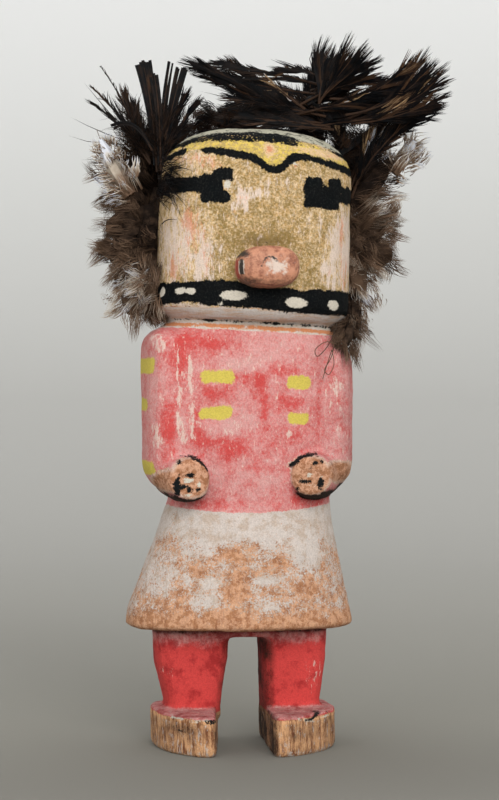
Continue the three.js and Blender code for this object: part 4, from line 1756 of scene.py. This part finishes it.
@dataclass(frozen=True)
class Fluff:
    """A downy feather: locks of soft hair-like barbs round a short shaft."""

    locks: int = 52
    hairs: int = 20
    length: float = 10.0
    width: float = 0.26
    gather: float = 0.5
    curl: float = 2.2
    sag: float = 1.0
    depth: float = 4.0
    core: float = 0.9
    tone: float = 0.3
    tip_tone: float = 0.3
    threads: tuple = ()
    # A thick dark tube along the head's side, painted shadow between the ruff and the head.
    shadow_tube: tuple = ()
    line: tuple = ()
    others: tuple = ()

    def grow(self, blade: Blade, spike: tuple, rng: np.random.Generator) -> list[Part]:
        """Grows the feather.

        Args:
            blade: The feather's line.
            spike: The points and faces of the barb to copy.
            rng: The source of chance.

        Returns:
            The parts.
        """
        if self.line:
            blade = Blade.through(*self.line)
        parts = [make_quill(blade, 0.45, 0.95, 0.3), self._core(blade)]
        parts += [make_thread(thread, 0.14, 0.35) for thread in self.threads]
        # The dark tube stands in for the shadow between the ruff and the head.
        if self.shadow_tube:
            parts.append(make_thread(self.shadow_tube, 3.2, 0.02))
        for other in self.others:
            parts += other.grow(blade, spike, rng)
        count = self.locks * self.hairs
        lock = np.repeat(np.arange(self.locks), self.hairs)
        share = (0.8 * rng.random(self.locks) ** 1.2)[lock]
        start, along, across, half = blade.at(share)
        normal = np.cross(along, across)
        side = rng.normal(0, 0.5, self.locks)[lock] * (half + 1.5)
        deep = rng.normal(0, self.depth, self.locks)[lock]
        jitter = rng.normal(0, 1.0, (count, 3))
        start = start + across * side[:, None] + normal * deep[:, None] * 0.7 + jitter
        around = np.arctan2(deep, side * 1.6) + rng.normal(0, 0.7, self.locks)[lock]
        out = np.cos(around)[:, None] * across + np.sin(around)[:, None] * normal
        widest = 78 - 40 * share
        tilt = 10 + (widest - 10) * rng.random(self.locks)[lock] + rng.normal(0, 6, count)
        tilt = np.radians(tilt)[:, None]
        direction = unit(np.cos(tilt) * along + np.sin(tilt) * out)
        length = self.length * rng.uniform(0.6, 1.1, self.locks)[lock]
        length *= rng.uniform(0.75, 1.05, count)
        length *= 1.1 - 0.45 * share
        tip = start + direction * length[:, None]
        middle = middles(tip, lock)
        bend = (middle[lock] - tip) * self.gather + rng.normal(0, self.curl, (self.locks, 3))[lock]
        bend[:, 2] -= self.sag
        tone = self.tone + rng.normal(0, 0.09, self.locks)[lock] + rng.normal(0, 0.05, count)
        tone += self.tip_tone * (share - 0.2) + 0.012 * np.abs(side)
        # Down is paler in some patches, and darker beside the head as painted shade.
        fade_and_shade = layered(FADED_AND_SHADED, middle[:, 0], middle[:, 2]) * rng.uniform(0.5, 1.2, self.locks)
        tone += fade_and_shade[lock]
        parts.append(
            Strands(
                start,
                direction,
                unit(np.cross(along, out) + 0.3 * normal),
                length,
                self.width * rng.uniform(0.7, 1.2, count),
                bend,
                np.abs(rng.normal(0, 0.55, count)),
                np.clip(tone, 0, 1),
            ).grow(spike, rng)
        )
        return parts

    def _core(self, blade: Blade) -> Part:
        """Makes the matted heart of the feather; on dark feathers its tone is cut, painted shade among
        the locks that cover it.
        """
        share = np.linspace(0, 0.8, 12)
        line, along, across, half = blade.at(share)
        full = np.sin(np.pi * np.clip(share / 0.8, 0.25, 0.97)) ** 0.6
        wide = np.maximum(half, 4.5) * self.core * full + 0.2
        gets_core_shade = self.tone < 0.9
        tone = self.tone * (0.4 if gets_core_shade else 1)
        return sweep_ring(line, along, across, wide, 3.2 * full + 0.2, tone)


def weave_piece(name: str, parts: list[Part], frame: DollFrame) -> bpy.types.Object:
    """Joins parts into one mesh object.

    Args:
        name: The new object's name.
        parts: The parts.
        frame: The doll's frame.

    Returns:
        The object.
    """
    points = np.concatenate([part.points for part in parts])
    faces: list = []
    first = 0
    for part in parts:
        faces += [tuple(corner + first for corner in face) for face in part.faces]
        first += len(part.points)
    mesh = bpy.data.meshes.new(name)
    mesh.from_pydata(frame.to_scene(points).tolist(), [], faces)
    write_attribute(mesh, "tone", np.concatenate([part.tone for part in parts]))
    write_attribute(mesh, "run", np.concatenate([part.run for part in parts]))
    return add_object(name, mesh)


@dataclass(frozen=True)
class FeatherFinish:
    """The finish of a feather, from its darkest to its palest barb."""

    name: str
    dark: tuple
    middle: tuple
    pale: tuple
    roughness: float
    root_shade: float = 1.0
    bloom: tuple = colour(206, 208, 216)

    def make(self) -> bpy.types.Material:
        """Returns the material."""
        return surface(self.name, self._wire)

    def _wire(self, graph: Graph, shader: bpy.types.Node) -> None:
        """Wires the barbs' tone and a slight change along each."""
        drift = graph.minus(graph.noise(3, 3, 0.6, seed=41), 0.5)
        along = graph.span(graph.attribute("run"), 0.0, 0.8)
        reach = {0: along, 1: 0.0, 2: 1.0, 3: self.root_shade, 4: 1.0}
        kept = graph.node("ShaderNodeMapRange", reach)
        tone = graph.times(graph.attribute("tone"), kept.outputs[0])
        tone = graph.plus(tone, graph.times(drift, 0.16))
        low = graph.blend(graph.span(tone, 0.0, 0.5, smooth=False), self.dark, self.middle)
        shade = graph.blend(graph.span(tone, 0.5, 1.0, smooth=False), low, self.pale)
        shade = graph.fade(shade, self.bloom, tone, 0.85, 1.0)
        graph.feed(shader.inputs["Base Color"], shade)
        shader.inputs["Roughness"].default_value = self.roughness
        shader.inputs["Specular IOR Level"].default_value = 0.07


WISPS = ((-58, 13, 218, 0.2), (-59, 13, 213, 0.2), (-54, 10, 230, 0.3), (-55, 8.6, 202.1, 0.1))

LOOSE_STRANDS = ((-11.8, 10, 232, 0.8), (-8.7, 9, 228.6, 0.75), (-5.2, 9, 225, 0.7), (-13, 10, 228, 0.85))

# Patches where the down is paler, and two beside the head's sides where it is darker, which is painted
# shade.
FADED_AND_SHADED = rows(
    Patch,
    (-50, 195, 5, 3, 0.5), (-44, 188, 5, 7, 0.3), (-40, 161, 5, 6, 0.75), (-42, 151, 8, 5, 0.6),
    (-33, 178, 4, 12, -0.25), (52, 188, 7, 9, 0.55), (44, 154, 4, 9, 0.75), (34, 148, 4, 5, 0.25),
    (34, 180, 3, 10, -0.2),
)


PALE = {"tone": 1, "tip_tone": 0, "length": 7, "curl": 0.8, "width": 0.5, "hairs": 12, "core": 0.6}
MATTED = {"tip_tone": 0.08, "length": 6.0, "curl": 1.2, "depth": 2.5, "width": 0.3}


def spray(lengths: tuple, *line: tuple, **style: object) -> Plume:
    """Gives a shorter plume of one blade with a line of its own."""
    return Plume(lengths, line=line, **({"blades": 1, "fluff": 0, "barbs": 75, "lean": 14} | style))


PLUMES = {
    "temple_plume_1": Plume(
        barbs=0, blades=1, shaft=0.9, line=((-29, 2, 198), (-30, 3, 221), (-34, 5, 238)),
        vane=(0.8, 2.7, 8, 0.55), tan=((1, 0.66, 0.84, 0.5),), fluff=70,
    ),
    "temple_plume_2": Plume(
        barbs=0, blades=1, shaft=0.95, line=((-28, -1, 198), (-28, 0, 219), (-30, 3, 233)),
        vane=(0.8, 0.9, 4, 0.55), fluff=60,
        others=(
            spray(
                (0, 0), (-31, -1, 205), (-37, -2, 218), (-45, 1, 213), barbs=0, vane=(0.3, 0.5, 3, 0.5),
            ),
        ),
    ),
    "temple_plume_3": Plume(
        barbs=0, blades=1, shaft=0.9, line=((-28, 1, 198), (-27, 2, 220), (-24, 4, 238)),
        vane=(0.5, 1.2, 4, 0.33), lashes=130,
    ),
    "temple_plume_4": Plume(
        barbs=0, blades=1, shaft=0.9, line=((-28, 1, 199), (-25, 0, 218), (-20, -1, 235)),
        vane=(0.9, 1.6, 6, 0.5), fluff=130, fluff_reach=(0.05, 0.5),
        others=(
            spray((5, 9), (-27, 1, 200), (-24, 1, 216), (-18, 1, 227), lean=16, fan=14),
            spray((3, 6), (-27, 1, 200), (-22, 0, 214), (-14, 0, 224), lean=12, fan=12),
        ),
    ),
    "temple_plume_5": Plume(
        (5, 5), barbs=16, blades=1, shaft=0.98, lean=7, fan=3, fluff=140,
        line=((-31, 5, 201), (-38, 8, 222), (-48, 12, 236)),
        others=(
            spray((9, 9), (-31, 7, 201), (-36, 11, 217), (-40, 14, 229), tan=((0, 0.2, 0.9, 0.35),)),
            spray((8, 8), (-31, 7, 201), (-34, 9, 214), (-37, 10, 224), tan=((0, 0.3, 0.9, 0.3),)),
        ),
    ),
    "temple_plume_6": Plume(
        (10, 8), barbs=20, splay=2, shaft=0.9, lean=8, fan=4, fluff=150,
        line=((-31, 5, 202), (-38, 6, 215), (-52, 10, 229)),
        others=(spray((8, 6), (-31, 5, 201), (-40, 6, 215), (-53, 10, 224), barbs=24, lean=8, fan=4),),
        wisps=WISPS,
    ),
    "crest_plume_1": Plume(
        (5, 16), line=((37, 11, 200), (23, 9, 224), (-19, 6, 238)), lean=12, shaft=0.82, fan=8,
        others=(
            spray((4, 14), (28, 4, 224), (9, 9, 231), (-19, 15, 238), lean=10, fan=6, shaft=0.85),
            spray((7, 14), (30, 2, 226), (6, 9, 229), (-15, 13, 236), lean=12, fan=8, shaft=0.8),
        ),
    ),
    "crest_plume_2": Plume(
        (4, 16), line=((35, 15, 202), (21, 13, 227), (-7, 10, 239)), lean=14, shaft=0.82, fan=10,
        others=(
            spray((4, 20), (29, 1, 229), (15, 5, 234), (-10, 10, 238), shaft=0.85, fan=8),
            spray((4, 14), (29, -3, 230), (23, -1, 236), (12, 2, 234), shaft=0.8),
        ),
    ),
    "crest_plume_3": Plume(
        (10, 18), lean=22, fluff=120, fluff_reach=(0.2, 0.9),
        others=(
            Fluff(52, **MATTED, tone=0.16, core=0.35, line=((1, 9, 214), (-8, 10, 218), (-17, 12, 219))),
            Fluff(36, **MATTED, tone=0.1, core=0.35, line=((-26, 4, 204), (-20, 6, 213), (-13, 9, 217))),
            spray((9, 16), (28, 2, 221), (8, 9, 229), (-11, 14, 234), tan=((1, 0.25, 0.45, 0.8),)),
            spray((12, 12), (30, -1, 218), (11, 6, 223), (-6, 11, 226), lean=18),
        ),
    ),
    "crest_plume_4": Plume(
        (12, 13), lean=20, splay=2.5, fluff=220, fluff_reach=(0.3, 0.98), tan=((1, 0.22, 0.42, 0.85),),
        others=(
            Fluff(26, **MATTED, tone=0.02, core=0.8, line=((-6, 14, 219), (16, 12, 221), (34, 8, 220))),
            Fluff(40, **MATTED, tone=0.04, core=0.4, line=((-14, 8, 212), (10, 9, 215), (34, 6, 211))),
            spray((10, 10), (31, -4, 214), (14, 2, 217), (-9, 8, 219), lean=14),
            spray((12, 8), (31, -3, 215), (15, 4, 218), (-3, 9, 220), lean=18),
            spray((10, 5), (32, -5, 213), (18, 1, 215), (-1, 6, 216), lean=16),
        ),
        wisps=LOOSE_STRANDS,
    ),
    "crest_plume_5": Plume(
        (10, 6), fan=16, shaft=0.7,
        others=(
            spray((20, 16), (27, -4, 222), (27, -4, 229), (31, -5, 239), fan=16, shaft=0.55, gather=0.85),
            spray(
                (22, 20), (27, -4, 222), (30, -6, 229), (41, -8, 239.5), fan=18, shaft=0.55, gather=0.88,
            ),
        ),
    ),
    "crest_plume_6": Plume(
        (12, 9), fan=30, shaft=0.7, gather=0.8,
        others=(
            Fluff(24, **MATTED, tone=0.03, core=0.5, line=((24, 4, 223), (34, 3, 228), (46, 2, 231))),
            spray((16, 16), (28, -4, 224), (34, -7, 232), (48, -10, 238), fan=18, shaft=0.6, gather=0.85),
            spray(
                (3, 3), (22, -4, 220), (14, -5, 225), (5, -6, 233), barbs=14, lean=4,
                tan=((0, 0, 1, 0.85),),
            ),
            spray(
                (10, 10), (21, 1, 222), (36, -4, 231), (50, -6, 230), lean=16, tan=((1, 0.6, 0.8, 0.5),),
            ),
        ),
    ),
    "crest_plume_7": Plume(
        (8, 12), line=((39, 4, 195), (49, 3, 220), (63, 1, 240)), lean=18, fan=14, shaft=0.78,
        tan=((0, 0.85, 0.95, 0.6),),
        others=(
            spray(
                (8, 14), (31, -3, 224), (46, -8, 222), (60, -10, 238), lean=15, tan=((0, 0.8, 1, 0.5),),
            ),
            spray(
                (12, 12), (36, -6, 218), (54, -11, 220), (66, -12, 236), lean=15,
                tan=((1, 0.5, 0.6, 0.6),),
            ),
            spray((12, 12), (27, 6, 224), (42, 5, 225), (60, 3, 232), lean=16),
            spray((10, 10), (26, 7, 228), (36, 6, 231), (50, 4, 234), lean=16),
        ),
    ),
    "crest_plume_8": Plume(
        (12, 13), lean=20, fan=18, tan=((0, 0.1, 0.36, 0.8),),
        others=(
            spray(
                (12, 12), (38, -6, 216), (56, -13, 218), (71, -15, 233), lean=16,
                tan=((0, 0.05, 0.5, 0.7),),
            ),
            spray(
                (10, 12), (21, 1, 219), (38, -6, 223), (58, -9, 227), lean=16, tan=((1, 0.3, 0.5, 0.7),),
            ),
        ),
    ),
    "crest_plume_9": Plume(
        (14, 10), lean=20, fan=18,
        others=(
            Fluff(26, **MATTED, tone=0.02, core=0.9, line=((20, 8, 219), (42, 4, 219), (62, 0, 228))),
            Fluff(44, **MATTED, tone=0.04, core=0.4, line=((30, 6, 202), (42, 4, 208), (50, 1, 218))),
            spray((12, 10), (38, -6, 215), (53, -15, 215), (71, -17, 225), lean=16),
            spray((12, 8), (21, 1, 214), (40, -10, 216), (70, -15, 219), tan=((1, 0.55, 0.7, 0.6),)),
        ),
    ),
}

DOWNS = {
    "right_down_1": Fluff(
        tone=0.04, tip_tone=0.1, length=11,
        others=(Fluff(40, **PALE, line=((-38, 4, 190), (-46, 5, 202), (-50, 6, 214))),),
    ),
    "right_down_2": Fluff(tone=0.1, tip_tone=0.3, length=11),
    "right_down_3": Fluff(tone=0.2, tip_tone=0.4, length=8),
    "right_down_4": Fluff(tone=0.2, tip_tone=0.25, length=7),
    "right_down_5": Fluff(
        60, tone=0.24, tip_tone=0.2, length=6.5, width=0.32,
        shadow_tube=((-27, 4, 192), (-31, 3, 178), (-32, 2, 163), (-31, 3, 153), (-30, 4, 150)),
    ),
    "right_down_6": Fluff(60, tone=0.32, tip_tone=0.2, length=6.5, width=0.32, curl=2.8),
    "right_down_7": Fluff(
        60, tone=0.38, tip_tone=0.2, length=6.5, width=0.32, curl=2.8,
        others=(
            Fluff(24, tone=0.12, length=7, line=((-31, 4, 186), (-33, 1, 168), (-31, 0, 148))),
            Fluff(
                18, tone=0.06, length=5, core=0.7, depth=2,
                line=((-33, 0, 155), (-31, -3, 149), (-28, -5, 144)),
            ),
        ),
    ),
    "left_down_1": Fluff(
        tone=0.03, tip_tone=0.1, length=11,
        others=(Fluff(26, **PALE, line=((56, 9, 200), (62, 8, 207), (65, 7, 214))),),
    ),
    "left_down_2": Fluff(
        tone=0.06, tip_tone=0.2, length=11,
        others=(Fluff(28, **MATTED, tone=0.04, line=((40, 8, 188), (50, 8, 198), (58, 7, 209))),),
    ),
    "left_down_3": Fluff(tone=0.3, tip_tone=0.4, length=11),
    "left_down_4": Fluff(tone=0.22, tip_tone=0.3, length=6.5),
    "left_down_5": Fluff(
        tone=0.28, tip_tone=0.3, length=6, line=((35, 4, 186), (40, 4, 172), (47, -2, 161)),
        shadow_tube=((30, 6, 196), (35, 6, 182), (36, 6, 168), (34, 5, 154), (30, 3, 146)),
    ),
    "left_down_6": Fluff(
        62, tone=0.62, tip_tone=0.3, length=6, curl=1.6, line=((38, 5, 176), (43, 4, 162), (43, 1, 147)),
    ),
    "shoulder_down_1": Fluff(
        tone=0.2, tip_tone=0.2, sag=2, depth=1.2, core=0.5, locks=34, length=5.5,
        line=((41, 3, 157), (40, -4, 147), (37, -14, 136)),
        others=(
            Fluff(
                24, tone=0.12, length=5, depth=2, core=0.5,
                line=((38, 0, 152), (36, -6, 145), (31, -13, 140)),
            ),
        ),
    ),
    "shoulder_down_2": Fluff(
        tone=0.22, tip_tone=0.2, sag=2, depth=1.0, core=0.4, locks=30, length=6,
        line=((37, -10, 146), (34, -18, 140), (32, -22, 135)),
        threads=(
            (
                (29, -22, 142), (26, -25, 137), (22, -26, 133), (21, -26, 136), (25, -26, 139),
                (29, -24, 138),
            ),
            (
                (29, -23, 139), (27, -26, 133), (24, -27, 129), (26, -27, 127), (28, -27, 131),
                (27, -27, 136),
            ),
            ((27, -27, 136), (25, -27, 130), (24, -26, 126)),
        ),
    ),
}


@dataclass
class Headdress:
    """All the feathers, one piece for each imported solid."""

    frame: DollFrame
    nodes: dict

    def build(self) -> list[bpy.types.Object]:
        """Grows every feather and dresses it.

        Returns:
            The new pieces.
        """
        spike = make_spike(4)
        tints = colour(7, 8, 10), colour(66, 46, 32), colour(176, 146, 108)
        black = FeatherFinish("black_vane", *tints, 0.5).make()
        tints = colour(24, 17, 13), colour(118, 94, 76), colour(214, 204, 188)
        down = FeatherFinish("soft_down", *tints, 0.85, root_shade=0.45).make()
        made = []
        for order, (name, kind) in enumerate((PLUMES | DOWNS).items()):
            rng = np.random.default_rng(SEED + order)
            blade = Blade.from_solid(self.nodes[name], self.frame)
            piece = weave_piece(f"{name}_barbs", kind.grow(blade, spike, rng), self.frame)
            is_plume = isinstance(kind, Plume)
            piece.data.materials.append(black if is_plume else down)
            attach(piece, ROOT)
            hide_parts(name)
            made.append(piece)
        return made


# ------------------------------------------------------------------ the studio


@dataclass
class Studio:
    """The paper bowl that the doll stands in, the lights and the camera."""

    frame: DollFrame
    azimuth: float = math.radians(-9.0)
    distance: float = 0.750
    height: float = 0.119
    side_step: float = 0.0031
    lens: float = 97.1
    floor_radius: float = 0.9
    bend: float = 0.9
    rim: float = 2.6

    def build(self) -> None:
        """Sets up the studio."""
        bpy.context.scene.view_settings.view_transform = "Standard"
        self._camera()
        self._bowl()
        self._lights()

    def _camera(self) -> None:
        """Places the camera level with the doll's chest."""
        data = bpy.data.cameras.new("camera")
        data.lens = self.lens
        camera = add_object("camera", data)
        forward = np.array((-math.sin(self.azimuth), math.cos(self.azimuth), 0))
        right = np.array((math.cos(self.azimuth), math.sin(self.azimuth), 0))
        place = self.frame.origin - forward * self.distance + right * self.side_step
        camera.location = (place[0], place[1], self.height)
        camera.rotation_euler = (math.pi / 2, 0, self.azimuth)
        bpy.context.scene.camera = camera

    def _bowl(self) -> None:
        """Makes the floor, which curves up into a wall all round."""
        profile = [(0.0, 0.0), (0.1, 0.0), (0.3, 0.0), (0.6, 0.0), (self.floor_radius, 0.0)]
        for turn in np.linspace(0, math.pi / 2, 17)[1:]:
            radius = self.floor_radius + self.bend * math.sin(turn)
            profile.append((radius, self.bend * (1 - math.cos(turn))))
        profile.append((self.floor_radius + self.bend, self.rim))
        mesh = bpy.data.meshes.new("paper_bowl")
        edges = [(i, i + 1) for i in range(len(profile) - 1)]
        mesh.from_pydata([(radius, 0, height) for radius, height in profile], edges, [])
        piece = add_object("paper_bowl", mesh)
        pick(piece)
        bpy.ops.object.mode_set(mode="EDIT")
        bpy.ops.mesh.select_all(action="SELECT")
        bpy.ops.mesh.spin(steps=96, angle=2 * math.pi, center=(0, 0, 0), axis=(0, 0, 1))
        bpy.ops.mesh.select_all(action="SELECT")
        bpy.ops.mesh.remove_doubles(threshold=0.1 * MM)
        bpy.ops.mesh.normals_make_consistent(inside=True)
        bpy.ops.object.mode_set(mode="OBJECT")
        bpy.ops.object.shade_smooth()
        mesh.materials.append(surface("studio_paper", self._paper))

    @staticmethod
    def _paper(graph: Graph, shader: bpy.types.Node) -> None:
        """A paper whose colour is painted light: it grades from dark in the middle of the floor to pale
        at the top of the wall as a painted falloff of light, is lighter towards the back of the floor,
        and glows faintly.
        """
        place = graph.node("ShaderNodeSeparateXYZ", {0: graph.millimetres()})
        flat = graph.node("ShaderNodeCombineXYZ", {0: place.outputs[0], 1: place.outputs[1]})
        radius = graph.node("ShaderNodeVectorMath", {0: flat.outputs[0]}, operation="LENGTH")
        reach = graph.plus(radius.outputs["Value"], place.outputs[2])
        # Painted light: the floor is lighter towards the back, and the colour grades up the wall as a
        # painted falloff.
        painted_light_at_back = graph.span(place.outputs[1], -100, 60)
        shade = graph.blend(painted_light_at_back, colour(107, 105, 98), colour(123, 121, 113))
        for low, high, value in (
            (0, 534, colour(152, 150, 144)),
            (534, 1466, colour(183, 182, 178)),
            (1466, 1934, colour(213, 213, 210)),
            (1934, 2400, colour(241, 241, 240)),
        ):
            shade = graph.blend(graph.span(reach, low, high, smooth=False), shade, value)
        # The paper glows faintly: painted light from a surface that is no lamp.
        graph.feed(shader.inputs["Emission Color"], shade)
        shader.inputs["Emission Strength"].default_value = 0.14
        graph.feed(shader.inputs["Base Color"], shade)
        shader.inputs["Roughness"].default_value = 0.95
        shader.inputs["Specular IOR Level"].default_value = 0.1

    def _lights(self) -> None:
        """Lights the doll softly from the front and above."""
        world = bpy.data.worlds.new("studio_air")
        bpy.context.scene.world = world
        world.use_nodes = True
        air = world.node_tree.nodes["Background"]
        air.inputs["Color"].default_value = colour(240, 242, 246)
        air.inputs["Strength"].default_value = 0.55
        aim = Vector(self.frame.origin) + Vector((0, 0, 0.12))
        for name, place, size, power in (
            ("key", (0.1, -1.35, 0.7), 0.8, 15.0),
            ("fill", (-0.9, -1.0, 0.45), 0.9, 4.0),
            ("top", (0.0, 0.2, 1.5), 0.9, 4.0),
        ):
            data = bpy.data.lights.new(name, "AREA")
            data.size = size
            data.energy = power
            lamp = add_object(name, data)
            lamp.location = place
            lamp.rotation_euler = (aim - Vector(place)).to_track_quat("-Z", "Y").to_euler()
            lamp.visible_camera = False


# ------------------------------------------------------------------ the doll


def main() -> None:
    """Builds every piece in order and reports it."""
    logging.basicConfig(level=logging.INFO, format="%(name)s: %(message)s")
    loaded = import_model()
    nodes = loaded["nodes"]
    frame = DollFrame.from_carving()
    Studio(frame).build()
    effects = Effects()

    carving = CarvedFigure(frame).build(nodes["carved_figure"])
    carving.data.materials.append(PaintedWood(effects).make())
    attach(carving, ROOT)
    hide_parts("carved_figure")
    LOG.info("carving: %d faces", len(carving.data.polygons))

    snout = Snout(frame).build(nodes["snout"])
    snout.data.materials.append(StainedWood(effects).make())
    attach(snout, ROOT)
    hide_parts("snout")
    LOG.info("snout: %d faces", len(snout.data.polygons))

    for piece in Headdress(frame, nodes).build():
        LOG.info("%s: %d faces", piece.name, len(piece.data.polygons))


if __name__ == "__main__":
    main()
